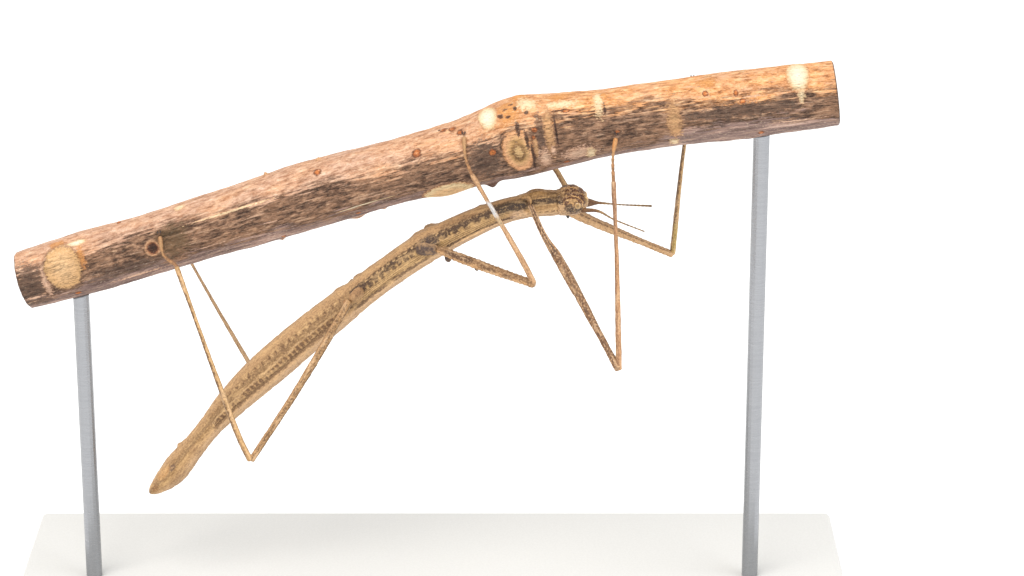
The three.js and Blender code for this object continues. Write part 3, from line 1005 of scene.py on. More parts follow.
@dataclass(frozen=True)
class HeadFinish:
    """Reddish-brown mouthparts with pale curved ridges above a dark cheek.

    Attributes:
        name: The material's name.
        centre: The middle of the ridges' curves.
        neck: Where the neck's colours end.
        bands: The neck's colours by height.
        ground: The mouthparts' colour.
        ridge: The ridges' colour.
        patches: Patches, as colour, middle, reach and strength.
    """

    name: str = "cuticle_head"
    centre: Point = (25.6, 0.0, 83.0)
    neck: float = 24.3
    bands: tuple[tuple[float, Colour], ...] = (
        (0.0, tone(150, 112, 78)),
        (0.12, tone(206, 164, 122)),
        (0.3, tone(224, 180, 134)),
        (0.56, tone(214, 170, 122)),
        (0.64, tone(92, 68, 46)),
        (0.8, tone(104, 76, 50)),
        (0.9, tone(160, 122, 78)),
        (1.0, tone(206, 162, 112)),
    )
    ground: Colour = tone(112, 68, 42)
    ridge: Colour = tone(240, 186, 120)
    patches: tuple[tuple[Colour, Point, Point, float], ...] = (
        (tone(70, 50, 36), (25.3, 2.2, 82.3), (0.9, 2.0, 0.9), 0.8),
        (tone(62, 42, 32), (26.4, 2.0, 81.9), (1.8, 1.6, 0.8), 0.9),
        (tone(206, 160, 104), (26.0, 2.2, 83.5), (0.95, 1.4, 0.5), 0.9),
        (tone(252, 208, 146), (28.9, 1.0, 84.0), (0.8, 2.6, 1.5), 0.9),
        (tone(222, 178, 132), (25.2, 1.2, 80.5), (3.2, 2.4, 0.55), 0.85),
        (tone(96, 66, 48), (26.2, 1.9, 81.1), (1.6, 1.4, 0.2), 0.8),
    )

    def material(self) -> bpy.types.Material:
        """Makes the head's material."""
        material, graph, surface = new_material(self.name)
        x, y, z = graph.parts(graph.place())
        place = graph.joined(x, graph.sums("ABSOLUTE", y), z)
        wobble = graph.sums("MULTIPLY_ADD", graph.noise(place, 2.4, 3.0), 2.0, -1.0)
        bent = graph.vector("SUBTRACT", graph.joined(x, 0.0, z), self.centre)
        away = graph.sums("MULTIPLY_ADD", wobble, 0.35, graph.length(graph.scaled(bent, (0.82, 0.0, 1.2))))
        wave = graph.sums("PINGPONG", graph.sums("DIVIDE", away, 0.36), 1.0)
        lines = graph.mix(graph.rise(wave, 0.55, 0.85, 0.0, 0.95), self.ground, self.ridge)
        outer = graph.effect(BAND, {"Value": away, "Low": 1.9, "High": 2.9, "Soft": 0.4})["Mask"]
        lines = graph.mix(graph.sums("MULTIPLY", outer, 0.55), lines, tone(92, 56, 36))
        height = graph.sums("DIVIDE", graph.sums("SUBTRACT", graph.sums("MULTIPLY_ADD", wobble, 0.5, z), 80.0), 5.0)
        bands = graph.ramp(height, self.bands)
        low = graph.rise(graph.sums("MULTIPLY_ADD", wobble, 0.3, z), 83.1, 82.4)
        front = graph.rise(graph.sums("MULTIPLY_ADD", wobble, 1.2, x), self.neck - 0.3, self.neck + 0.5)
        colour = graph.mix(graph.sums("MULTIPLY", front, graph.sums("SUBTRACT", 1.0, low)), bands, lines)
        for shade, centre, reach, strength in self.patches:
            per = tuple(1 / part for part in reach)
            apart = graph.effect(PATCH, {"Place": place, "Centre": centre, "Per Reach": per})["Least"]
            apart = graph.sums("MULTIPLY_ADD", wobble, 0.5, apart)
            colour = graph.mix(graph.rise(apart, 0.6, 1.15, strength, 0.0), colour, shade)
        speck = graph.noise(place, 3.6, 2.0)
        colour = graph.mix(graph.rise(speck, 0.53, 0.62, 0.0, 0.6), colour, tone(70, 46, 34))
        colour = graph.mix(graph.rise(speck, 0.46, 0.37, 0.0, 0.45), colour, tone(246, 204, 150))
        graph.feed(surface.inputs["Base Color"], colour)
        surface.inputs["Roughness"].default_value = 0.5
        bumped(graph, surface, graph.sums("SUBTRACT", wave, speck), 0.16)
        return material


@dataclass(frozen=True)
class Antenna:
    """One antenna: a thick base, then a thin lash.

    Attributes:
        side: Left or right.
        points: Its midline.
        radius: Its radii at distances from its root.
        lash: Where the dark base ends.
    """

    side: str
    points: tuple[Point, ...]
    radius: Pairs
    lash: float

    def loft(self) -> Loft:
        """The antenna as a loft."""
        profile = Profile(self.radius)

        def radius(along: np.ndarray, turn: np.ndarray) -> np.ndarray:
            """Radii with the rings of the lash."""
            rings = 0.02 * np.cos(along * 2 * math.pi / 0.8) * within(along, 3, 99, 1)
            return profile(along) * (1 + 0.04 * np.cos(np.radians(turn) * 5)) + rings

        return Loft(Route(self.points), radius, 90, 14, rounding=(0.15, 0.3))

    def finish(self) -> Cuticle:
        """The antenna's finish."""
        ground = ((0.0, tone(112, 76, 50)), (0.5, tone(142, 98, 62)), (1.0, tone(120, 82, 54)))
        rows = (
            Row(tone(168, 132, 84), 0, 180, self.lash, 99, strength=0.8, soft=1),
            Row(tone(78, 54, 38), 60, 120, 0, self.lash, strength=0.5, soft=40),
            Row(tone(96, 78, 58), 0, 180, self.lash + 1, 99, 1.6, 0.3, 0.6, 1, 0.3),
        )
        return Cuticle(f"cuticle_antenna_{self.side}", ground, DARK, 0.5, OLIVE, rows)


@dataclass(frozen=True)
class Coat:
    """The colours and marks of one stretch of a leg."""

    ground: tuple[Colour, Colour, Colour]
    rows: tuple[Row, ...] = ()
    patches: tuple[Patch, ...] = ()
    streaks: float = 0.5
    specks: float = 0.4
    flecks: float = 0.2


@dataclass(frozen=True)
class Leg:
    """One leg: its joints, how it bows, and its colours.

    Attributes:
        name: Its place and side.
        hip: The coxa's inner end.
        trochanter: The femur's inner end.
        knee: Where femur and tibia meet.
        ankle: The tibia's outer end.
        arch: The foot's middle.
        toe: The foot's end.
        femur_coat: The femur's colours.
        tibia_coat: The tibia's colours.
        thigh: Places along the femur off its straight line, as share and offset.
        shin: The same for the tibia.
        socket: The same for the coxa.
        spurs: Small lobes on the leg.
        slim: How thick the tibia is, against the others.
    """

    name: str
    hip: Point
    trochanter: Point
    knee: Point
    ankle: Point
    arch: Point
    toe: Point
    femur_coat: Coat
    tibia_coat: Coat
    thigh: tuple[tuple[float, Point], ...] = ()
    shin: tuple[tuple[float, Point], ...] = ()
    socket: tuple[tuple[float, Point], ...] = ()
    spurs: tuple[Lump, ...] = ()
    slim: float = 1.0

    FEMUR = {
        "front_left": ((0, 0.55), (0.22, 0.62), (0.3, 0.86), (0.38, 0.92), (0.6, 0.79), (0.85, 0.62), (1, 0.68)),
        "front_right": ((0, 0.5), (0.1, 0.84), (0.3, 0.96), (0.5, 0.86), (0.8, 0.62), (1, 0.66)),
        "middle": ((0, 0.66), (0.25, 0.88), (0.6, 0.82), (0.9, 0.72), (1, 0.72)),
        "hind": ((0, 0.66), (0.2, 0.76), (0.6, 0.66), (0.9, 0.6), (1, 0.6)),
    }
    TIBIA = ((0, 0.56), (0.1, 0.56), (0.3, 0.52), (0.5, 0.44), (0.8, 0.37), (0.97, 0.46), (1, 0.44))
    TARSUS = ((0, 0.34), (0.3, 0.29), (0.7, 0.28), (0.88, 0.42), (1, 0.4))
    COXA = {"front": 0.47, "middle": 1.15, "hind": 1.0}

    @property
    def pair(self) -> str:
        """Front, middle or hind."""
        return self.name.split("_")[0]

    @staticmethod
    def _bowed(start: Point, places: Sequence[tuple[float, Point]], end: Point) -> Route:
        """The route from one joint to another through the places that bow off its line."""
        first, last = np.array(start), np.array(end)
        between = [tuple(first + (last - first) * share + np.array(off)) for share, off in places]
        return Route([start, *between, end])

    def femur_route(self) -> Route:
        """The femur's midline."""
        return self._bowed(self.trochanter, self.thigh, self.knee)

    def tibia_route(self) -> Route:
        """The tibia's midline."""
        return self._bowed(self.knee, self.shin, self.ankle)

    def _limb(self, route: Route, radii: Pairs, seed: int, teeth: float, rings: int, around: int) -> Loft:
        """A keeled stretch of leg with fine teeth along its keels."""
        profile, grain = Profile(radii, route.length), Grain(seed)

        def radius(along: np.ndarray, turn: np.ndarray) -> np.ndarray:
            """Radii with keels, teeth and unevenness."""
            plain = profile(along)
            angle = np.radians(turn)
            keels = 0.5 + 0.5 * np.cos(4 * (angle - math.pi / 4))
            places = np.stack(np.broadcast_arrays(along * 0.9, np.cos(angle) * 1.1, np.sin(angle) * 1.1), -1)
            uneven = grain.layered(places + seed, 3)
            tooth = np.maximum(np.cos(along * 2 * math.pi / 1.15 + np.round(turn / 90) * 1.7), 0) ** 3
            return plain * (0.95 + 0.07 * keels + 0.07 * uneven) + teeth * tooth * keels**2

        return Loft(route, radius, rings, around, rounding=(0.35, 0.3))

    def coxa(self) -> Loft:
        """The coxa, with the knob of the trochanter at its outer end."""
        route = self._bowed(self.hip, self.socket, self.trochanter)
        size = self.COXA[self.pair]
        profile = Profile([(0, 0.8), (0.4, 1), (0.75, 0.82), (1, 0.72)], route.length)
        grain = Grain(31)

        def radius(along: np.ndarray, turn: np.ndarray) -> np.ndarray:
            """Radii with unevenness."""
            angle = np.radians(turn)
            places = np.stack(np.broadcast_arrays(along * 1.2, np.cos(angle) * 1.4, np.sin(angle) * 1.4), -1)
            return size * profile(along) * (1 + 0.09 * grain.layered(places, 3))

        return Loft(route, radius, 26, 30, rounding=(0.6, 0.7))

    def femur(self) -> Loft:
        """The femur."""
        seed = 40 + sum(map(ord, self.name)) % 17
        radii = self.FEMUR.get(self.name) or self.FEMUR[self.pair]
        return self._limb(self.femur_route(), radii, seed, 0.12, 170, 16)

    def tibia(self) -> Loft:
        """The tibia."""
        seed = 60 + sum(map(ord, self.name)) % 13
        radii = [(share, size * self.slim) for share, size in self.TIBIA]
        return self._limb(self.tibia_route(), radii, seed, 0.04, 150, 12)

    def tarsus(self) -> Loft:
        """The foot, with its joints and the pad at its end."""
        ankle, knee = np.array(self.ankle), np.array(self.knee)
        inner = ankle + (knee - ankle) / np.linalg.norm(knee - ankle) * 0.7
        route = Route([tuple(inner), self.ankle, self.arch, self.toe])
        profile = Profile(self.TARSUS, route.length)
        joints = np.array([0.3, 0.46, 0.58, 0.68]) * route.length

        def radius(along: np.ndarray, turn: np.ndarray) -> np.ndarray:
            """Radii with the joints of the foot."""
            waist = sum(hump(along, joint, 0.18) - 0.7 * hump(along, joint - 0.35, 0.25) for joint in joints)
            return profile(along) - 0.06 * waist + 0 * turn

        return Loft(route, radius, 60, 12, rounding=(0.2, 0.35))

    def finishes(self) -> dict[str, Cuticle]:
        """The finishes of the leg's four lengths."""
        made = {}
        for part, coat, radii in (("femur", self.femur_coat, 0.7), ("tibia", self.tibia_coat, 0.45)):
            ground = tuple(zip((0.0, 0.5, 1.0), coat.ground))
            made[part] = Cuticle(
                f"cuticle_{part}_{self.name}", ground, BROWN, coat.streaks, PEACH, coat.rows, coat.patches,
                functools.partial(lambda size, along: size, radii), (0.8, 5.0, 5.0), coat.specks, coat.flecks,
            )
        tips = {"front": ORANGE, "middle": tone(186, 140, 96), "hind": tone(172, 122, 78)}
        ground = ((0.0, tone(168, 120, 80)), (0.5, tone(186, 134, 88)), (1.0, tone(168, 120, 80)))
        rows = (
            Row(tone(112, 76, 58), 0, 180, -2, 0.9, strength=0.7, soft=1),
            Row(tone(112, 82, 58), 0, 180, 1.2, 5.2, 1.4, 0.45, 0.6, 1),
            Row(tips[self.pair], 0, 180, 5.6, 99, strength=0.8, soft=1),
        )
        made["tarsus"] = Cuticle(f"cuticle_tarsus_{self.name}", ground, BROWN, 0.5, TAN, rows)
        knob = {
            "front": ((0.0, tone(128, 94, 60)), (0.5, tone(170, 128, 80)), (1.0, tone(206, 162, 106))),
            "middle": ((0.0, tone(126, 102, 86)), (0.5, tone(90, 72, 64)), (0.8, tone(84, 66, 60)), (1.0, tone(214, 176, 138))),
            "hind": ((0.0, tone(196, 150, 104)), (0.5, tone(150, 112, 76)), (1.0, TAN)),
        }
        if self.name.endswith("right"):
            knob[self.pair] = ((0.0, tone(196, 154, 108)), (0.5, tone(218, 174, 124)), (1.0, tone(206, 162, 112)))
        dark = (Row(DARK, 30, 96, 0.4, 99, strength=0.75, soft=14, ragged=0.5),) if self.pair == "front" else ()
        made["coxa"] = Cuticle(f"cuticle_coxa_{self.name}", knob[self.pair], DARK, 0.4, TAN, dark, stretch=(2.5, 2.5, 2.5))
        return made


def dashes(colour: Colour, low: float, high: float, start: float, stop: float, spacing: float) -> Row:
    """A row of uneven dashes."""
    return Row(colour, low, high, start, stop, spacing, 0.6, 0.75, 26, 0.8)


def stripe(colour: Colour, low: float, high: float, start: float, stop: float, strength: float = 0.7) -> Row:
    """A soft uneven stripe."""
    return Row(colour, low, high, start, stop, strength=strength, soft=30, ragged=1.0)


MOTTLED = Coat(
    (tone(162, 120, 82), tone(142, 104, 72), tone(182, 138, 96)),
    (
        Row(tone(196, 150, 108), 0, 180, -2, 9.5, strength=0.7, soft=10),
        Row(DARK, 58, 84, -2, 10.5, strength=0.95, soft=8, ragged=0.12),
        Row(DARK, 104, 130, -2, 10.5, strength=0.95, soft=8, ragged=0.12),
        dashes(tone(92, 64, 48), 60, 112, 9.5, 37, 1.7),
        dashes(tone(100, 72, 52), 124, 160, 9.5, 37, 1.1),
    ),
    streaks=0.5,
    specks=0.6,
    flecks=0.55,
)
STRAW = Coat(
    (tone(206, 162, 116), tone(226, 180, 130), tone(216, 168, 118)),
    (
        Row(tone(112, 80, 54), 116, 136, 3, 33.5, 1.6, 0.8, 0.8, 10, 0.8),
        stripe(tone(150, 112, 78), 146, 180, 2, 34, 0.5),
        stripe(tone(156, 118, 82), 0, 26, 6, 34, 0.5),
        Row(tone(104, 76, 54), 0, 180, 35.6, 40, strength=0.65, soft=1),
    ),
    streaks=0.35,
)
BANDED = Coat(
    (tone(206, 160, 112), tone(214, 164, 112), tone(190, 146, 100)),
    (
        stripe(tone(104, 76, 54), 104, 180, 0, 24, 0.6),
        Row(tone(78, 54, 42), 84, 160, 2.4, 9, strength=0.8, soft=24, ragged=1.0),
        Row(BROWN, 78, 124, 11, 15, strength=0.8, soft=20, ragged=1.0),
        Row(BROWN, 66, 116, 16.5, 19, strength=0.8, soft=20, ragged=1.0),
        Row(BROWN, 0, 180, 22.6, 26, strength=0.4, soft=1),
    ),
    streaks=0.6,
    specks=0.5,
    flecks=0.4,
)
TANNED = Coat(
    (tone(172, 134, 88), tone(184, 142, 94), tone(164, 126, 82)),
    (
        dashes(tone(108, 80, 52), 62, 100, 1, 36, 1.1),
        stripe(tone(110, 82, 54), 120, 180, 0, 36, 0.7),
        # Painted highlight: this pale orange band along one side stands for light on the femur.
        stripe(tone(214, 164, 118), 20, 50, 0, 36, 0.6),
    ),
    streaks=0.6,
    specks=0.5,
    flecks=0.35,
)
RUDDY = Coat(
    (tone(184, 138, 98), tone(200, 150, 108), tone(176, 130, 92)),
    (
        stripe(tone(132, 94, 66), 116, 180, 0, 36, 0.65),
        # Painted highlight: this pale band along one side stands for light on the tibia.
        stripe(tone(222, 168, 122), 40, 80, 0, 36, 0.4),
        Row(tone(120, 84, 60), 98, 106, 0, 36, strength=0.7, soft=12, ragged=0.6),
        stripe(tone(140, 102, 80), 0, 180, 26, 36, 0.45),
    ),
)
DASHED = Coat(
    (tone(192, 150, 98), tone(206, 162, 108), tone(180, 138, 92)),
    (
        dashes(tone(104, 76, 50), 80, 132, 7, 35, 1.9),
        stripe(tone(104, 76, 52), 108, 180, 1, 36, 0.85),
        # Painted highlight: this pale band along one side stands for light on the tibia.
        stripe(tone(240, 198, 142), 30, 80, 0, 36, 0.5),
    ),
    flecks=0.3,
)
KNEED = dataclasses.replace(DASHED, rows=(*DASHED.rows, stripe(tone(204, 176, 96), 10, 120, 0.8, 8, 0.7)))
DULL = Coat(
    (tone(206, 168, 126), tone(222, 182, 138), tone(196, 158, 118)),
    (stripe(tone(150, 118, 86), 110, 180, 0, 36, 0.4),),
)
BARRED = Coat(
    (tone(186, 144, 104), tone(206, 160, 116), tone(180, 136, 98)),
    (
        stripe(tone(146, 108, 76), 124, 180, 0, 24, 0.6),
        Row(tone(116, 120, 92), 40, 120, 12.2, 14.4, strength=0.85, soft=30, ragged=0.6),
        Row(tone(226, 224, 222), 0, 180, 14.0, 17.2, strength=0.92, soft=1),
        Row(tone(176, 186, 192), 70, 110, 14.0, 17.0, strength=0.6, soft=30, ragged=1.0),
    ),
)

LEGS = (
    Leg(
        "front_left", (16.6, -1.7, 84), (18.3, -3.4, 83.25), (34.1, -20, 57.6), (33.1, -9, 89.6), (33, -7.7, 93.7),
        (33.5, -6.95, 97), MOTTLED, RUDDY, ((0.18, (-0.42, 0, -0.15)), (0.34, (-0.12, 0, 0))), ((0.6, (0.17, 0, 0)),),
        ((0.5, (0.55, 0.2, 0.4)),),
    ),
    Leg(
        "front_right", (18.4, 1.7, 84), (20.3, 3.4, 82.25), (45.35, 20, 65.5), (47.3, 8.6, 97.7), (47.6, 7.7, 101),
        (47.6, 5.3, 104.4), STRAW, KNEED, ((0.4, (0, 0, -0.25)),), ((0.5, (-0.14, 0, 0)),),
    ),
    Leg(
        "middle_left", (-2.5, -2.5, 74.5), (1.6, -3.8, 74.8), (18.95, -20, 73.95), (7.8, -8.5, 90.7),
        (6.7, -6.9, 93.4), (6.4, -5, 96.6), BANDED, BARRED, ((0.5, (0, 0, -0.1)),), ((0.2, (0.2, 0, 0.1)),),
        spurs=(Lump((3.4, -4.6, 73.4), (1.2, 1.0, 1.5), 0.3, 20), Lump((8.6, -8.3, 73.0), (0.9, 0.8, 1.4), 0.2, 20)),
    ),
    Leg(
        "middle_right", (-1.1, 2.5, 76), (2.3, 3.8, 76.6), (25.9, 14, 79.2), (15.9, 8.6, 98), (14.3, 8.2, 98),
        (11.6, 7.6, 96.6), BANDED, DASHED, ((0.5, (0, 0, -0.1)),), ((0.2, (0.1, 0, 0.1)),),
    ),
    Leg(
        "hind_left", (-12.2, -2.7, 66.8), (-14.6, -3.8, 64.9), (-32.3, -18, 39.2), (-45.5, -8.5, 73.3),
        (-47.8, -7.4, 75), (-48.6, -5.6, 78), TANNED, DASHED, ((0.5, (0.33, 0, -0.2)),),
        ((0.12, (-0.42, 0, -0.12)), (0.5, (-0.34, 0, -0.1))),
    ),
    Leg(
        "hind_right", (-11.9, 2.7, 67.3), (-14.2, 3.8, 66), (-33, 19, 39.5), (-46.95, 8.4, 72.8), (-48.1, 7.3, 74.3),
        (-49.6, 6.2, 76.4), TANNED, DULL, ((0.5, (0.3, 0, -0.2)),), ((0.55, (-0.14, 0, -0.05)),),
        slim=0.78,
    ),
)

ANTENNAE = (
    Antenna(
        "left", ((27.6, -1.3, 81.5), (30.6, -2.5, 81.7), (33.3, -4, 80.7), (38.9, -7.5, 79.5)),
        ((0, 0.45), (1.6, 0.36), (3, 0.27), (5, 0.18), (9, 0.13), (14, 0.11)), 3.2,
    ),
    Antenna(
        "right", ((27.4, 1.3, 82.1), (31.1, 2.5, 81.6), (34.4, 4, 80.8), (40.8, 7, 79.5)),
        ((0, 1.05), (1.8, 0.74), (3.4, 0.3), (5, 0.2), (12, 0.17), (15, 0.2)), 4.4,
    ),
)


def show(name: str, mesh: bpy.types.Mesh, nodes: Iterable[str]) -> bpy.types.Object:
    """Puts a mesh in the scene as a piece that rides with the frame.

    Args:
        name: The piece's name.
        mesh: Its mesh, with its materials.
        nodes: The CAD nodes that it stands for.

    Returns:
        The piece.
    """
    piece = bpy.data.objects.new(name, mesh)
    bpy.context.scene.collection.objects.link(piece)
    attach(piece, "root")
    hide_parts(*nodes)
    LOG.info("%s: %d vertices, %d faces", name, len(mesh.vertices), len(mesh.polygons))
    return piece


class Skin:
    """The insect's one skin, joined from its lengths."""

    FLESH = (
        "tail_end", "abdomen_rear", "abdomen_middle", "abdomen_front", "metathorax", "mesothorax", "prothorax",
        "head", "antenna_left", "antenna_right",
    )
    LIMBS = ("coxa", "femur", "tibia", "tarsus")

    def __init__(self, trunk: Trunk, head: Head, antennae: Iterable[Antenna], legs: Iterable[Leg]) -> None:
        """Keeps what the skin is joined from."""
        self.trunk, self.head = trunk, head
        self.antennae, self.legs = tuple(antennae), tuple(legs)
        self.materials: list[bpy.types.Material] = []

    def _finish(self, finish: Cuticle | HeadFinish) -> int:
        """Makes a finish's material and returns its number."""
        self.materials.append(finish.material())
        return len(self.materials) - 1

    def _shells(self) -> list[Shell]:
        """Every length of the skin."""
        made = [self.trunk.loft().shell(self._finish(self.trunk.finish()))]
        made += self.head.shells(self.trunk.skull(), self._finish(self.head.finish()))
        made += [antenna.loft().shell(self._finish(antenna.finish())) for antenna in self.antennae]
        for leg in self.legs:
            finishes = {part: self._finish(finish) for part, finish in leg.finishes().items()}
            made += [getattr(leg, part)().shell(finishes[part]) for part in self.LIMBS]
            made += [spur.shell(finishes["coxa"]) for spur in leg.spurs]
        return made

    def _joined(self, shells: Sequence[Shell]) -> bpy.types.Mesh:
        """The shells united into one closed mesh."""
        scene = bpy.context.scene.collection
        body, *others = (bpy.data.objects.new(f"length_{k}", s.mesh(f"length_{k}")) for k, s in enumerate(shells))
        for thing in (body, *others):
            for material in self.materials:
                thing.data.materials.append(material)
            scene.objects.link(thing)
        for other in others:
            union = body.modifiers.new(other.name, "BOOLEAN")
            union.operation, union.solver, union.object = "UNION", "MANIFOLD", other
        graph = bpy.context.evaluated_depsgraph_get()
        joined = bpy.data.meshes.new_from_object(body.evaluated_get(graph), depsgraph=graph)
        for thing in (body, *others):
            bpy.data.objects.remove(thing)
        return joined

    def build(self) -> bpy.types.Object:
        """Builds the skin and puts it in the scene."""
        shells = self._shells()
        unrolled(shells)
        mesh = self._joined(shells)
        mesh.name = "insect_skin"
        mesh.validate(clean_customdata=False)
        mesh.set_sharp_from_angle(angle=math.radians(50))
        limbs = [f"{part}_{leg.name}" for leg in self.legs for part in self.LIMBS]
        return show("insect_skin", mesh, [*self.FLESH, *limbs])


@dataclass(frozen=True)
class EyeFinish:
    """A pale ringed eye.

    Attributes:
        name: The material's name.
        centre: The eye's middle.
        outward: The way that it looks.
    """

    name: str
    centre: Point
    outward: Point

    def material(self) -> bpy.types.Material:
        """Makes the eye's material."""
        material, graph, surface = new_material(self.name)
        place = graph.place()
        rim = tuple(c + 0.5 * o for c, o in zip(self.centre, self.outward))
        away = graph.length(graph.vector("SUBTRACT", place, rim))
        away = graph.sums("MULTIPLY_ADD", graph.noise(place, 4.0, 2.0), 0.2, away)
        stops = (
            (0.0, tone(132, 102, 60)),
            (0.3, tone(146, 114, 68)),
            (0.44, tone(192, 152, 98)),
            (0.62, tone(204, 164, 108)),
            (0.78, tone(132, 98, 62)),
            (1.0, tone(76, 54, 40)),
        )
        colour = graph.ramp(away, stops)
        facets = graph.node("ShaderNodeTexVoronoi", {"Vector": place, "Scale": 11.0}).outputs["Distance"]
        graph.feed(surface.inputs["Base Color"], colour)
        surface.inputs["Roughness"].default_value = 0.22
        surface.inputs["Coat Weight"].default_value = 0.4
        surface.inputs["Coat Roughness"].default_value = 0.1
        bumped(graph, surface, facets, 0.02, 0.5)
        return material


@dataclass(frozen=True)
class DarkHorn:
    """Dark shiny horn, paler at its root."""

    name: str = "dark_horn"
    dark: Colour = tone(46, 30, 22)
    pale: Colour = tone(112, 74, 46)

    def material(self) -> bpy.types.Material:
        """Makes the horn's material."""
        material, graph, surface = new_material(self.name)
        along, _, _ = graph.parts(graph.place())
        streak = graph.noise(graph.place(), 6.0, 3.0)
        share = graph.rise(graph.sums("MULTIPLY_ADD", streak, 0.3, along), 0.2, 0.7)
        graph.feed(surface.inputs["Base Color"], graph.mix(share, self.pale, self.dark))
        surface.inputs["Roughness"].default_value = 0.32
        bumped(graph, surface, streak, 0.03, 0.5)
        return material


@dataclass(frozen=True)
class Eyes:
    """The two eyes."""

    centre: Point = (26.9, 2.15, 82.7)
    size: Point = (1.5, 1.1, 1.5)

    def build(self) -> None:
        """Builds both eyes and puts them in the scene."""
        x, y, z = self.centre
        for word, side in SIDES.items():
            centre = (x, y * side, z)
            shell = Lump(centre, self.size, 0.0, 40).shell()
            unrolled([shell])
            mesh = shell.mesh(f"eye_{word}_globe")
            mesh.materials.append(EyeFinish(f"eye_{word}", centre, (0.0, side, 0.0)).material())
            show(f"eye_{word}_globe", mesh, [f"eye_{word}"])


@dataclass(frozen=True)
class Horns:
    """The two small horns under the head."""

    base: Point = (25, 0.95, 81.2)
    tip: Point = (25.2, 1.1, 79.8)
    radii: Pairs = ((0, 0.48), (0.5, 0.4), (1.0, 0.3), (1.4, 0.12))

    def build(self, material: bpy.types.Material) -> None:
        """Builds both horns and puts them in the scene."""
        profile = Profile(self.radii)
        for word, side in SIDES.items():
            ends = [(x, y * side, z) for x, y, z in (self.base, self.tip)]
            loft = Loft(Route(ends), lambda along, turn: profile(along) + 0 * turn, 14, 20, rounding=(0.1, 0.2))
            shell = loft.shell()
            unrolled([shell])
            mesh = shell.mesh(f"horn_{word}_cone")
            mesh.materials.append(material)
            show(f"horn_{word}_cone", mesh, [f"horn_{word}"])


@dataclass(frozen=True)
class Claws:
    """The hooked claws at the end of each foot."""

    length: float = 0.95
    root: float = 0.3
    splay: float = 0.5
    radii: Pairs = ((0, 0.17), (0.4, 0.14), (0.8, 0.08), (1.05, 0.03))

    def build(self, leg: Leg, material: bpy.types.Material) -> None:
        """Builds one foot's claws and puts them in the scene."""
        toe = np.array(leg.toe)
        ahead = toe - np.array(leg.arch)
        ahead /= np.linalg.norm(ahead)
        across = np.cross([1.0, 0.0, 0.0], ahead)
        across /= np.linalg.norm(across)
        aside = np.cross(ahead, across)
        profile = Profile(self.radii)
        shells = []
        for side in (-1, 1):
            outward = ahead * math.cos(self.splay) + aside * side * math.sin(self.splay)
            start = toe + ahead * self.root
            bend = start + outward * self.length * 0.55 + across * 0.08
            tip = start + outward * self.length * 0.9 - aside * side * 0.16
            route = Route([tuple(start), tuple(bend), tuple(tip)])
            loft = Loft(route, lambda along, turn: profile(along) + 0 * turn, 14, 12, rounding=(0.05, 0.1))
            shells.append(loft.shell())
        name = f"claws_{leg.name}_pair"
        show(name, merged(shells, name, [material]), [f"claws_{leg.name}"])


def unrolled(shells: Sequence[Shell], longest: float = 40.0, gap: float = 0.5) -> None:
    """Lays the shells' unrolled surfaces side by side in the unit square, long ones cut into lengths.

    Args:
        shells: The shells, whose flat places are in millimetres before and shares of the square after.
        longest: The greatest length of a piece.
        gap: The space between two pieces.
    """
    tiles = []
    for shell in shells:
        sizes = np.array([len(face) for face in shell.faces])
        first = np.concatenate([[0], np.cumsum(sizes)[:-1]])
        middle = np.add.reduceat(shell.flat[:, 0], first) / sizes
        count = max(1, math.ceil(np.ptp(shell.flat[:, 0]) / longest))
        share = (middle - middle.min()) / max(np.ptp(middle), 1e-6)
        lengths = np.repeat(np.minimum((share * count).astype(int), count - 1), sizes)
        tiles += [(shell, lengths == number) for number in range(count)]
    boxes = [(np.ptp(shell.flat[mask], axis=0), shell.flat[mask].min(0)) for shell, mask in tiles]
    side = math.sqrt(sum(math.prod(size + gap) for size, _ in boxes))
    order = sorted(range(len(tiles)), key=lambda number: -boxes[number][0][1])
    while True:
        corners, x, y, row = {}, 0.0, 0.0, 0.0
        for number in order:
            wide, high = boxes[number][0] + gap
            if x + wide > side:
                x, y, row = 0.0, y + row, 0.0
            corners[number] = np.array([x, y])
            x, row = x + wide, max(row, high)
        if y + row <= side:
            break
        side *= 1.02
    moved = {id(shell): shell.flat.copy() for shell in shells}
    for number, (shell, mask) in enumerate(tiles):
        moved[id(shell)][mask] = (shell.flat[mask] - boxes[number][1] + corners[number] + gap / 2) / side
    for shell in shells:
        shell.flat = moved[id(shell)]


def merged(shells: Sequence[Shell], name: str, materials: Iterable[bpy.types.Material]) -> bpy.types.Mesh:
    """Several shells as one mesh."""
    unrolled(shells)
    starts = np.cumsum([0, *(len(shell.points) for shell in shells)])
    faces = [tuple(k + int(start) for k in face) for start, shell in zip(starts, shells) for face in shell.faces]
    every = Shell(*(np.vstack([getattr(s, part) for s in shells]) if part != "faces" else faces for part in ("points", "faces", "places", "flat")))
    mesh = every.mesh(name)
    for material in materials:
        mesh.materials.append(material)
    return mesh


# ---- The perch ----


class Kind(Enum):
    """The kinds of marks on the bark, those further down lying on top."""

    SHADE = "shade"
    MOSS = "moss"
    TAN = "tan"
    PEACH = "peach"
    AMBER = "amber"
    PALE = "pale"
    GOLD = "gold"
    LENS = "lens"
    EYE = "eye"
    CREAM = "cream"
    CUP = "cup"
    LENTICEL = "lenticel"
    PIT = "pit"


@dataclass(frozen=True)
class BarkMark:
    """A mark on the bark.

    Attributes:
        kind: What it is.
        along: Its middle, along the perch.
        turn: Its middle, round the perch.
        reach: Half its length along and half its width round.
        raised: How far it stands out.
    """

    kind: Kind
    along: float
    turn: float
    reach: tuple[float, float]
    raised: float = 0.0


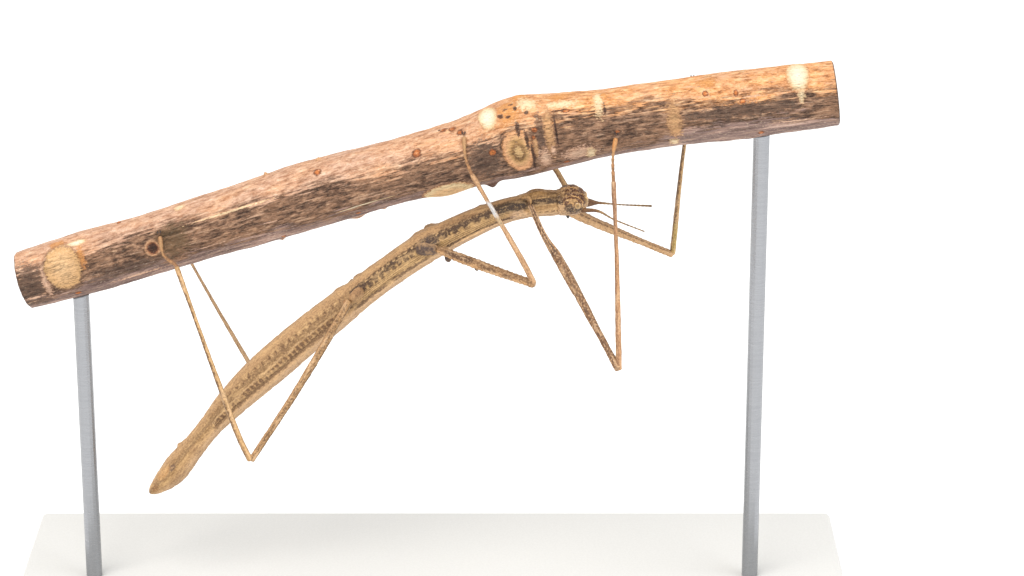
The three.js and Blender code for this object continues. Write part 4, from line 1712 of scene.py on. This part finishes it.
BARK_MARKS = (
    BarkMark(Kind.SHADE, 2.0, 88, (3.2, 4.8)),
    BarkMark(Kind.PEACH, 2.0, 66, (2.6, 0.3)),
    BarkMark(Kind.PEACH, 5.2, 92, (0.7, 3.2), 0.15),
    BarkMark(Kind.GOLD, 9.0, 110, (3.7, 4.5), 0.3),
    BarkMark(Kind.AMBER, 12.7, 120, (0.8, 2.3), 0.15),
    BarkMark(Kind.AMBER, 8.8, 158, (1.7, 1.3), 0.25),
    BarkMark(Kind.PALE, 9.3, 112, (0.8, 0.7)),
    BarkMark(Kind.CREAM, 12.4, 150, (1.9, 0.8)),
    BarkMark(Kind.SHADE, 20.5, 72, (8.0, 1.2)),
    BarkMark(Kind.PEACH, 21.5, 50, (4.5, 0.3)),
    BarkMark(Kind.LENTICEL, 9.8, 48, (0.7, 0.5), 0.15),
    BarkMark(Kind.LENTICEL, 20.5, 178, (0.5, 0.5), 0.4),
    BarkMark(Kind.CUP, 25.9, 98, (1.6, 1.6), 0.35),
    BarkMark(Kind.MOSS, 29.4, 102, (3.2, 3.0), 0.1),
    BarkMark(Kind.PALE, 32.4, 165, (1.2, 0.9), 0.15),
    BarkMark(Kind.PALE, 41.5, 120, (9.0, 0.2)),
    BarkMark(Kind.PEACH, 38.5, 69, (8.5, 0.2)),
    BarkMark(Kind.PEACH, 45.0, 80, (5.0, 0.16)),
    BarkMark(Kind.LENTICEL, 48.9, 35, (0.6, 0.5), 0.15),
    BarkMark(Kind.TAN, 49.0, 180, (0.6, 0.6), 0.8),
    BarkMark(Kind.TAN, 59.0, 178, (0.7, 0.7), 0.6),
    BarkMark(Kind.LENTICEL, 58.6, 142, (0.85, 0.8), 0.3),
    BarkMark(Kind.TAN, 48.2, 17, (0.6, 0.6), 0.3),
    BarkMark(Kind.TAN, 62.8, 17, (1.8, 0.7), 0.5),
    BarkMark(Kind.TAN, 67.9, 17, (0.7, 0.6), 0.3),
    BarkMark(Kind.LENTICEL, 63.4, 40, (0.6, 0.5), 0.15),
    BarkMark(Kind.CREAM, 63.5, 61, (12.5, 0.2)),
    BarkMark(Kind.LENTICEL, 76.8, 128, (0.95, 0.9), 0.3),
    BarkMark(Kind.LENS, 80.3, 36, (5.2, 2.8), 0.95),
    BarkMark(Kind.LENTICEL, 82.5, 158, (0.8, 0.5), 0.3),
    BarkMark(Kind.LENTICEL, 84.0, 153, (0.8, 0.6), 0.3),
    BarkMark(Kind.LENTICEL, 85.4, 141, (0.7, 0.6), 0.3),
    BarkMark(Kind.PIT, 81.6, 162, (0.4, 0.35)),
    BarkMark(Kind.SHADE, 88.4, 84, (3.0, 3.6)),
    BarkMark(Kind.PIT, 87.8, 22, (1.4, 1.1), 1.0),
    BarkMark(Kind.LENTICEL, 90.1, 95, (0.75, 0.75), 0.3),
    BarkMark(Kind.CREAM, 91.0, 150, (1.8, 2.9), 0.3),
    BarkMark(Kind.AMBER, 94.4, 148, (2.2, 3.2), 0.25),
    BarkMark(Kind.PIT, 93.1, 144, (0.5, 0.5)),
    BarkMark(Kind.PIT, 94.0, 151, (0.5, 0.35)),
    BarkMark(Kind.PIT, 95.0, 159, (0.45, 0.3)),
    BarkMark(Kind.PIT, 94.4, 139, (0.45, 0.3)),
    BarkMark(Kind.PIT, 95.6, 150, (0.3, 0.5)),
    BarkMark(Kind.PALE, 97.4, 156, (1.6, 1.8), 0.2),
    BarkMark(Kind.EYE, 94.7, 86, (3.0, 4.3), 0.4),
    BarkMark(Kind.AMBER, 96.3, 176, (1.6, 2.4), 0.4),
    BarkMark(Kind.PALE, 96.0, 84, (0.75, 1.8), 0.2),
    BarkMark(Kind.PIT, 95.4, 118, (0.4, 1.5), -0.25),
    BarkMark(Kind.PIT, 96.6, 100, (0.35, 1.9), -0.3),
    BarkMark(Kind.PIT, 97.2, 78, (0.3, 2.2), -0.3),
    BarkMark(Kind.PIT, 97.0, 58, (0.25, 1.8), -0.2),
    BarkMark(Kind.TAN, 97.9, 88, (0.5, 2.4), 0.1),
    BarkMark(Kind.LENTICEL, 98.1, 112, (0.6, 0.6), 0.3),
    BarkMark(Kind.LENTICEL, 97.7, 102, (0.5, 0.5), 0.3),
    BarkMark(Kind.PIT, 97.3, 141, (0.45, 0.4)),
    BarkMark(Kind.SHADE, 99.1, 108, (0.9, 3.6), -0.15),
    BarkMark(Kind.PEACH, 99.2, 66, (1.1, 2.3), 0.1),
    BarkMark(Kind.TAN, 100.6, 106, (0.95, 5.0), 0.25),
    BarkMark(Kind.PIT, 101.9, 104, (0.22, 3.4), -0.2),
    BarkMark(Kind.PEACH, 100.9, 76, (0.5, 1.0)),
    BarkMark(Kind.AMBER, 103.4, 171, (2.9, 1.2)),
    BarkMark(Kind.PALE, 103.6, 150, (3.4, 1.0)),
    BarkMark(Kind.PIT, 103.0, 138, (1.8, 0.2)),
    BarkMark(Kind.LENTICEL, 104.1, 136, (0.8, 0.5), 0.15),
    BarkMark(Kind.LENTICEL, 102.8, 47, (0.8, 0.5), 0.15),
    BarkMark(Kind.PEACH, 105.5, 62, (3.2, 1.4)),
    BarkMark(Kind.PALE, 107.4, 56, (0.9, 1.5)),
    BarkMark(Kind.PALE, 110.0, 143, (0.9, 3.0), 0.15),
    BarkMark(Kind.PIT, 111.0, 128, (0.25, 1.2), -0.1),
    BarkMark(Kind.AMBER, 111.0, 158, (0.8, 1.2), 0.1),
    BarkMark(Kind.LENTICEL, 112.6, 89, (0.6, 0.35), 0.1),
    BarkMark(Kind.TAN, 123.0, 94, (1.5, 4.2), 0.2),
    BarkMark(Kind.MOSS, 123.0, 100, (0.7, 2.3)),
    BarkMark(Kind.PALE, 122.6, 48, (1.1, 1.2), 0.2),
    BarkMark(Kind.SHADE, 135.0, 96, (11.0, 1.3)),
    BarkMark(Kind.PEACH, 139.5, 119, (5.0, 0.25)),
    BarkMark(Kind.PEACH, 146.0, 65, (5.5, 0.25)),
    BarkMark(Kind.LENTICEL, 129.0, 134, (0.6, 0.7), 0.1),
    BarkMark(Kind.LENTICEL, 135.4, 112, (0.65, 0.6), 0.2),
    BarkMark(Kind.LENTICEL, 134.4, 128, (0.5, 0.7), 0.2),
    BarkMark(Kind.LENTICEL, 138.2, 45, (0.7, 0.6), 0.2),
    BarkMark(Kind.TAN, 130.0, 180, (0.7, 0.7), 0.3),
    BarkMark(Kind.TAN, 136.0, 180, (0.7, 0.7), 0.3),
    BarkMark(Kind.AMBER, 129.5, 158, (2.2, 1.6)),
    BarkMark(Kind.CREAM, 145.7, 150, (2.1, 3.6), 0.25),
    BarkMark(Kind.PALE, 145.9, 112, (0.7, 1.8), 0.1),
)


@dataclass(frozen=True)
class BarkFinish:
    """Bark that is dark and cracked on its side, pale on top partly as a painted highlight, and greyish below partly as
    painted shade.

    Attributes:
        name: The material's name.
        length: The perch's length.
        marks: The marks on the bark.
        radius: The perch's radius, which places them.
        edges: At shares of the length, the upper and the lower edge of the dark side as shares of
            half a turn, and how warm the top is.
        looks: Each kind's colours from a mark's middle to its edge.
    """

    name: str
    length: float
    marks: tuple[BarkMark, ...]
    radius: Callable[[float], float]
    edges: tuple[tuple[float, Colour], ...] = (
        (0.0, (0.66, 0.3, 0.1, 1.0)),
        (0.08, (0.68, 0.36, 0.1, 1.0)),
        (0.16, (0.7, 0.36, 0.0, 1.0)),
        (0.2, (0.74, 0.36, 0.0, 1.0)),
        (0.25, (0.65, 0.36, 0.1, 1.0)),
        (0.42, (0.62, 0.3, 0.1, 1.0)),
        (0.58, (0.6, 0.22, 0.35, 1.0)),
        (0.65, (0.64, 0.22, 0.8, 1.0)),
        (0.7, (0.71, 0.26, 0.9, 1.0)),
        (0.78, (0.69, 0.3, 0.9, 1.0)),
        (0.81, (0.63, 0.4, 0.9, 1.0)),
        (0.93, (0.63, 0.4, 0.8, 1.0)),
        (1.0, (0.64, 0.32, 0.9, 1.0)),
    )
    looks: tuple[tuple[Kind, float, tuple[tuple[float, Colour], ...]], ...] = (
        (Kind.SHADE, 0.75, ((0.0, tone(92, 70, 58)), (0.7, tone(104, 80, 66)), (1.0, tone(128, 100, 84)))),
        (Kind.MOSS, 0.7, ((0.0, tone(104, 80, 52)), (0.6, tone(120, 94, 64)), (1.0, tone(140, 108, 76)))),
        (Kind.TAN, 0.85, ((0.0, tone(232, 180, 126)), (0.6, tone(218, 166, 116)), (1.0, tone(158, 114, 80)))),
        (Kind.PEACH, 0.85, ((0.0, tone(248, 206, 174)), (0.6, tone(238, 192, 160)), (1.0, tone(196, 152, 126)))),
        (Kind.AMBER, 0.85, ((0.0, tone(234, 164, 92)), (0.6, tone(228, 156, 88)), (1.0, tone(190, 126, 76)))),
        (Kind.PALE, 0.9, ((0.0, tone(255, 232, 190)), (0.6, tone(252, 220, 174)), (1.0, tone(220, 170, 122)))),
        (
            Kind.GOLD,
            0.95,
            (
                (0.0, tone(252, 208, 156)),
                (0.55, tone(244, 196, 142)),
                (0.86, tone(226, 178, 122)),
                (0.96, tone(112, 78, 54)),
                (1.0, tone(150, 110, 76)),
            ),
        ),
        (
            Kind.LENS,
            0.95,
            (
                (0.0, tone(255, 218, 160)),
                (0.5, tone(248, 200, 146)),
                (0.78, tone(255, 228, 178)),
                (0.9, tone(216, 156, 106)),
                (1.0, tone(106, 74, 56)),
            ),
        ),
        (
            Kind.EYE,
            0.95,
            (
                (0.0, tone(236, 196, 138)),
                (0.2, tone(222, 180, 124)),
                (0.32, tone(138, 100, 62)),
                (0.46, tone(206, 160, 102)),
                (0.6, tone(240, 188, 132)),
                (0.8, tone(244, 182, 132)),
                (0.92, tone(222, 158, 104)),
                (1.0, tone(112, 78, 60)),
            ),
        ),
        (
            Kind.CREAM,
            0.97,
            (
                (0.0, tone(254, 246, 226)),
                (0.6, tone(250, 232, 196)),
                (0.86, tone(238, 202, 152)),
                (1.0, tone(190, 138, 98)),
            ),
        ),
        (
            Kind.CUP,
            0.95,
            (
                (0.0, tone(56, 38, 32)),
                (0.52, tone(92, 56, 42)),
                (0.66, tone(190, 128, 90)),
                (0.8, tone(236, 184, 140)),
                (1.0, tone(186, 136, 100)),
            ),
        ),
        (
            Kind.LENTICEL,
            0.95,
            (
                (0.0, tone(232, 148, 76)),
                (0.4, tone(212, 122, 60)),
                (0.68, tone(170, 96, 52)),
                (0.86, tone(104, 66, 46)),
                (1.0, tone(120, 86, 64)),
            ),
        ),
        (Kind.PIT, 0.92, ((0.0, tone(66, 44, 36)), (0.6, tone(84, 56, 44)), (1.0, tone(124, 86, 64)))),
    )

    TORN = (Kind.SHADE, Kind.MOSS, Kind.AMBER, Kind.PALE, Kind.PEACH, Kind.PIT, Kind.TAN)

    def _least(self, graph: Graph, place: Socket, kind: Kind) -> Wire:
        """How far a place is from the nearest mark of a kind, 1 being its edge."""
        least: Wire = 9.0
        for mark in self.marks:
            if mark.kind is not kind:
                continue
            out, angle = self.radius(mark.along), math.radians(mark.turn)
            centre = (mark.along, out * math.cos(angle), out * math.sin(angle))
            per = (1 / mark.reach[0], 1 / mark.reach[1], 1 / mark.reach[1])
            least = graph.effect(PATCH, {"Place": place, "Centre": centre, "Per Reach": per, "So Far": least})["Least"]
        return least

    @staticmethod
    def _zones_with_painted_light(
        graph: Graph, grain: Socket, soft: Socket, broad: Socket, warm: Socket
    ) -> tuple[Socket, Socket, Socket]:
        """The colours of the top, partly a painted highlight, of the side, and of the underside, partly painted shade.
        """
        # Painted highlight: the top's pale pink and orange stand partly for light falling on the top of the branch.
        pink = graph.ramp(
            grain,
            (
                (0.3, tone(158, 108, 78)),
                (0.4, tone(198, 148, 116)),
                (0.5, tone(216, 169, 140)),
                (0.6, tone(234, 190, 160)),
                (0.72, tone(252, 224, 198)),
            ),
        )
        orange = graph.ramp(
            grain,
            (
                (0.3, tone(150, 94, 54)),
                (0.4, tone(214, 142, 82)),
                (0.5, tone(246, 174, 112)),
                (0.6, tone(254, 196, 136)),
                (0.72, tone(255, 232, 182)),
            ),
        )
        share = graph.sums("MULTIPLY_ADD", graph.sums("SUBTRACT", broad, 0.5), 1.6, warm, clamp=True)
        top = graph.mix(share, pink, orange)
        side = graph.ramp(
            grain,
            (
                (0.34, tone(70, 48, 36)),
                (0.42, tone(100, 72, 54)),
                (0.5, tone(134, 100, 78)),
                (0.58, tone(166, 126, 98)),
                (0.7, tone(214, 172, 136)),
            ),
        )
        side = graph.mix(graph.rise(broad, 0.46, 0.62, 0.0, 0.5), side, tone(176, 132, 100))
        # Painted shade: the underside's purple-grey stands partly for the shade under the branch.
        low = graph.ramp(
            soft,
            (
                (0.28, tone(104, 80, 74)),
                (0.42, tone(136, 110, 102)),
                (0.52, tone(156, 128, 118)),
                (0.64, tone(196, 160, 144)),
                (0.76, tone(224, 190, 172)),
            ),
        )
        return top, side, low

    def _marked(self, graph: Graph, place: Socket, ground: Socket, ragged: Socket) -> Socket:
        """The bark's colour with all of its marks."""
        colour = ground
        for kind, strength, look in self.looks:
            torn = 2.4 if kind in self.TORN else 1.3 if kind is Kind.LENTICEL else 0.5
            away = graph.sums("MULTIPLY_ADD", ragged, torn, self._least(graph, place, kind))
            colour = graph.mix(graph.rise(away, 0.84, 1.08, strength, 0.0), colour, graph.ramp(away, look))
        return colour

    def _sawn(self, graph: Graph, place: Socket, colour: Socket, grain: Socket) -> Socket:
        """The colour with pale wood and its rings on the two sawn ends."""
        along, down, near = graph.parts(place)
        out = graph.length(graph.joined(0.0, down, near))
        end = graph.sums("MAXIMUM", graph.rise(along, 0.3, 0.12), graph.rise(along, self.length - 0.3, self.length - 0.12))
        rings = graph.sums("PINGPONG", graph.sums("MULTIPLY_ADD", grain, 0.8, out), 0.42)
        wood = graph.mix(graph.rise(rings, 0.05, 0.4), tone(196, 150, 100), tone(230, 192, 142))
        wood = graph.mix(graph.rise(out, 0.9, 0.5), wood, tone(140, 98, 66))
        wood = graph.mix(graph.rise(out, 4.7, 5.0), wood, tone(112, 80, 62))
        return graph.mix(end, colour, wood)

    def material(self) -> bpy.types.Material:
        """Makes the bark's material."""
        material, graph, surface = new_material(self.name)
        place = graph.place()
        angles = graph.effect(ANGLES, {"Place": place})
        grain = graph.noise(graph.scaled(place, (0.5, 1.5, 1.5)), 1.0, 6.0, 0.68)
        broad = graph.noise(graph.scaled(place, (0.12, 0.3, 0.3)), 1.0, 4.0, 0.6)
        fine = graph.noise(graph.scaled(place, (2.0, 3.6, 3.6)), 1.0, 3.0, 0.6)
        thread = graph.noise(graph.scaled(place, (0.16, 1.9, 1.9)), 1.0, 4.0, 0.6)
        edges = graph.ramp(graph.sums("DIVIDE", angles["Along"], self.length), self.edges)
        upper, lower, warm = graph.parts(edges)
        wobble = graph.sums("MULTIPLY_ADD", graph.sums("SUBTRACT", thread, 0.5), 0.5, graph.sums("DIVIDE", angles["Angle"], 180.0))
        shifted = graph.sums("MULTIPLY_ADD", graph.sums("SUBTRACT", broad, 0.5), 0.3, wobble)
        above = graph.sums("SUBTRACT", shifted, upper)
        below = graph.sums("SUBTRACT", lower, shifted)
        soft = graph.noise(graph.scaled(place, (0.14, 1.1, 1.1)), 1.0, 3.0, 0.5)
        top, side, low = self._zones_with_painted_light(graph, grain, soft, broad, warm)
        # The top colour, partly a painted highlight, lies above the side.
        colour = graph.mix(graph.rise(above, -0.05, 0.07), side, top)
        # The underside colour, partly painted shade, lies below the side.
        colour = graph.mix(graph.rise(below, -0.04, 0.05), colour, low)
        middle = graph.sums("MULTIPLY", graph.rise(above, 0.12, -0.06), graph.rise(below, 0.1, -0.04))
        seam = graph.sums("ABSOLUTE", graph.sums("SUBTRACT", thread, 0.5))
        crack = graph.sums("MULTIPLY", graph.rise(seam, 0.004, 0.022, 1.0, 0.0), graph.rise(grain, 0.62, 0.42))
        colour = graph.mix(graph.sums("MULTIPLY", crack, graph.sums("MULTIPLY_ADD", middle, 0.66, 0.14)), colour, tone(66, 44, 34))
        ridge = graph.sums("MULTIPLY", graph.rise(thread, 0.58, 0.66), graph.rise(fine, 0.4, 0.6, 0.2, 0.7))
        colour = graph.mix(ridge, colour, tone(228, 188, 156))
        shallow = graph.sums("MULTIPLY_ADD", graph.sums("SUBTRACT", fine, 0.5), 0.9, graph.sums("MULTIPLY", graph.sums("SUBTRACT", grain, 0.5), 0.7))
        colour = self._marked(graph, place, colour, shallow)
        colour = graph.mix(graph.rise(fine, 0.56, 0.7, 0.0, 0.4), colour, tone(96, 64, 46))
        flecks = graph.sums("MULTIPLY", graph.rise(fine, 0.44, 0.32, 0.0, 0.4), graph.sums("MULTIPLY_ADD", middle, -0.7, 1.0))
        colour = graph.mix(flecks, colour, tone(254, 226, 190))
        graph.feed(surface.inputs["Base Color"], self._sawn(graph, place, colour, broad))
        graph.feed(surface.inputs["Roughness"], graph.rise(fine, 0.3, 0.7, 0.6, 0.85))
        surface.inputs["Specular IOR Level"].default_value = 0.35
        depth = graph.sums("MULTIPLY", graph.sums("SUBTRACT", grain, 0.5), graph.sums("MULTIPLY_ADD", middle, 1.4, 0.6))
        depth = graph.sums("MULTIPLY_ADD", crack, graph.sums("MULTIPLY_ADD", middle, -0.4, -0.1), depth)
        bumped(graph, surface, graph.sums("MULTIPLY_ADD", fine, -0.5, depth), 0.34)
        return material


@dataclass(frozen=True)
class Perch:
    """The cut length of branch.

    Attributes:
        points: Its midline.
        radii: Its radii at distances along that.
        marks: The marks on its bark.
    """

    points: tuple[Point, ...] = (
        (-74.5, 0, 67.4), (-49.3, 0, 75.1), (-19.9, 0, 84.5), (7.4, 0, 92.3), (16.4, 0, 95.1), (23.7, 0, 96.4),
        (45.2, 0, 99.7), (73.2, 0, 103.2),
    )
    radii: Pairs = (
        (0, 5.3), (11, 5.75), (28, 5.65), (57, 6.15), (72, 5.8), (86, 6.45), (95.5, 7.3), (103, 6.7), (111, 6.25),
        (140, 6.1), (155, 5.8),
    )
    marks: tuple[BarkMark, ...] = BARK_MARKS

    RIMMED = (Kind.GOLD, Kind.CREAM, Kind.CUP, Kind.EYE)

    def radius(self, along: float) -> float:
        """The perch's radius at one place."""
        return float(Profile(self.radii)(np.array([along]))[0])

    def _marks_relief(self, along: np.ndarray, around: Sequence[np.ndarray]) -> np.ndarray:
        """How far the marks stand out."""
        total = 0.0 * (along + around[0])
        for mark in self.marks:
            if not mark.raised:
                continue
            centre, angle = self.radius(mark.along), math.radians(mark.turn)
            away = [(along - mark.along) / mark.reach[0]]
            away += [(part - centre * f(angle)) / mark.reach[1] for part, f in zip(around, (math.cos, math.sin))]
            apart = np.sqrt(sum(part**2 for part in away))
            shape = hump(apart, 0, 0.7)
            if mark.kind in self.RIMMED:
                shape = hump(apart, 0.9, 0.16) + 0.3 * within(apart, -1, 0.8, 0.3)
            total = total + mark.raised * shape
        return total

    def _relief(self, along: np.ndarray, turn: np.ndarray) -> np.ndarray:
        """How far the bark stands out from the plain branch."""
        angle, grain = np.radians(turn), Grain(3)
        out = Profile(self.radii)(along)
        around = [out * f(angle) for f in (np.cos, np.sin)]

        def places(drawn: float, across: float) -> np.ndarray:
            """Places scaled along and across."""
            return np.stack(np.broadcast_arrays(along * drawn, *(part * across for part in around)), -1)

        side = within(np.abs(turn), 62, 126, 24)
        total = 0.17 * grain.layered(places(0.09, 0.35), 3) + 0.05 * grain.layered(places(0.5, 0.9) + 4, 3)
        total = total + (0.04 + 0.12 * side) * grain.layered(places(0.2, 1.7) + 9, 3)
        return total + self._marks_relief(along, around)

    def build(self) -> bpy.types.Object:
        """Builds the perch and puts it in the scene."""
        profile = Profile(self.radii)
        route = Route(self.points)

        def radius(along: np.ndarray, turn: np.ndarray) -> np.ndarray:
            """Radii with the bark's relief."""
            return profile(along) + self._relief(along, turn) - 0.05

        loft = Loft(route, radius, 560, 150, rounding=(0.35, 0.35), closing=(0.12, 0.12))
        shell = loft.shell()
        unrolled([shell], 80.0)
        mesh = shell.mesh("perch_branch")
        finish = BarkFinish("bark", route.length, self.marks, self.radius)
        mesh.materials.append(finish.material())
        mesh.set_sharp_from_angle(angle=math.radians(60))
        return show("perch_branch", mesh, ["perch"])


# ---- The stand ----


@dataclass(frozen=True)
class BaseFinish:
    """Matte off-white plastic with a very fine grain."""

    name: str = "matte_plastic"
    colour: Colour = tone(236, 235, 231)

    def material(self) -> bpy.types.Material:
        """Makes the base's material."""
        material, graph, surface = new_material(self.name)
        place = graph.node("ShaderNodeTexCoord", {}).outputs["Object"]
        grain = graph.noise(place, 2600.0, 2.0)
        shade = graph.mix(graph.rise(grain, 0.3, 0.7, 0.0, 0.25), self.colour, tone(224, 223, 219))
        graph.feed(surface.inputs["Base Color"], shade)
        graph.feed(surface.inputs["Roughness"], graph.rise(grain, 0.3, 0.7, 0.42, 0.56))
        bumped(graph, surface, grain, 0.02, 0.4)
        return material


@dataclass(frozen=True)
class SteelFinish:
    """Steel brushed round its length."""

    name: str = "brushed_steel"
    colour: Colour = tone(186, 188, 192)

    def material(self) -> bpy.types.Material:
        """Makes the rods' material."""
        material, graph, surface = new_material(self.name)
        place = graph.node("ShaderNodeTexCoord", {}).outputs["Object"]
        lines = graph.noise(graph.scaled(place, (300.0, 300.0, 9000.0)), 1.0, 3.0)
        graph.feed(surface.inputs["Base Color"], graph.mix(lines, self.colour, tone(168, 170, 175)))
        surface.inputs["Metallic"].default_value = 1.0
        graph.feed(surface.inputs["Roughness"], graph.rise(lines, 0.3, 0.7, 0.24, 0.36))
        bumped(graph, surface, lines, 0.01, 0.4)
        return material


@dataclass(frozen=True)
class Stand:
    """The flat base and the two rods, which keep the frame's own shapes."""

    nodes: tuple[tuple[str, Slot], ...] = (
        ("stand_base", Slot.BASE), ("stand_rod_left", Slot.ROD), ("stand_rod_right", Slot.ROD),
    )

    def build(self, nodes: Mapping[str, bpy.types.Object]) -> None:
        """Gives the stand's nodes their finishes."""
        finishes = {Slot.BASE: BaseFinish().material(), Slot.ROD: SteelFinish().material()}
        for name, slot in self.nodes:
            node = nodes[name]
            node.data.materials.clear()
            node.data.materials.append(finishes[slot])
            LOG.info("%s: finished as %s", name, slot.value)


# ---- The studio ----


@dataclass(frozen=True)
class Studio:
    """The floor, the lights and the camera.

    Attributes:
        floor: The floor's width, in metres.
        eye: Where the camera stands, in metres.
        pitch: How far it is turned up from looking straight down, in degrees.
        lens: Its focal length.
        sky: How strong the light from all round is.
        lamps: Each lamp's place in metres, size in metres, power in watts and colour.
    """

    floor: float = 8.0
    eye: Point = (0.015, -0.563816, 0.271212)
    pitch: float = 70.0
    lens: float = 115.0
    sky: float = 0.95
    lamps: tuple[tuple[Point, float, float, Point], ...] = (
        ((-0.35, -0.55, 0.95), 0.7, 9.0, (1.0, 0.97, 0.93)),
        ((0.6, -0.35, 0.6), 0.6, 3.0, (0.95, 0.97, 1.0)),
    )

    def _floor(self) -> None:
        """Lays the pale floor."""
        half = self.floor / 2
        mesh = bpy.data.meshes.new("studio_floor")
        mesh.from_pydata([(-half, -half, 0), (half, -half, 0), (half, half, 0), (-half, half, 0)], [], [(0, 1, 2, 3)])
        material, graph, surface = new_material("studio_paper")
        place = graph.node("ShaderNodeTexCoord", {}).outputs["Object"]
        grain = graph.noise(place, 40.0, 2.0)
        graph.feed(surface.inputs["Base Color"], graph.mix(grain, (0.96, 0.96, 0.955, 1.0), (0.93, 0.93, 0.925, 1.0)))
        surface.inputs["Roughness"].default_value = 0.9
        surface.inputs["Specular IOR Level"].default_value = 0.1
        mesh.materials.append(material)
        floor = bpy.data.objects.new("studio_floor", mesh)
        bpy.context.scene.collection.objects.link(floor)

    def _lights(self) -> None:
        """Sets the light from all round and the lamps."""
        world = bpy.data.worlds.new("studio_light")
        world.use_nodes = True
        background = world.node_tree.nodes["Background"]
        background.inputs["Color"].default_value = (1.0, 1.0, 1.0, 1.0)
        background.inputs["Strength"].default_value = self.sky
        bpy.context.scene.world = world
        aim = Vector((0.0, 0.0, 0.07))
        for number, (place, size, power, colour) in enumerate(self.lamps):
            light = bpy.data.lights.new(f"lamp_{number}", "AREA")
            light.energy, light.size, light.color = power, size, colour
            lamp = bpy.data.objects.new(f"lamp_{number}", light)
            lamp.location = place
            lamp.rotation_euler = (aim - Vector(place)).to_track_quat("-Z", "Y").to_euler()
            bpy.context.scene.collection.objects.link(lamp)

    def _camera(self) -> None:
        """Sets the camera."""
        data = bpy.data.cameras.new("camera")
        data.lens, data.sensor_width = self.lens, 36.0
        data.clip_start, data.clip_end = 0.01, 30.0
        camera = bpy.data.objects.new("camera", data)
        camera.location = self.eye
        camera.rotation_euler = (math.radians(self.pitch), 0.0, 0.0)
        bpy.context.scene.collection.objects.link(camera)
        bpy.context.scene.camera = camera

    def build(self) -> None:
        """Sets up the studio."""
        self._floor()
        self._lights()
        self._camera()
        bpy.context.scene.view_settings.view_transform = "Standard"
        LOG.info("studio: floor, %d lamps and camera", len(self.lamps))


def main() -> None:
    """Builds the whole scene on the frame."""
    logging.basicConfig(level=logging.INFO, format="%(message)s")
    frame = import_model()
    Studio().build()
    Stand().build(frame["nodes"])
    Perch().build()
    Skin(Trunk(), Head(), ANTENNAE, LEGS).build()
    Eyes().build()
    horn = DarkHorn().material()
    Horns().build(horn)
    for leg in LEGS:
        Claws().build(leg, horn)


if __name__ == "__main__":
    main()
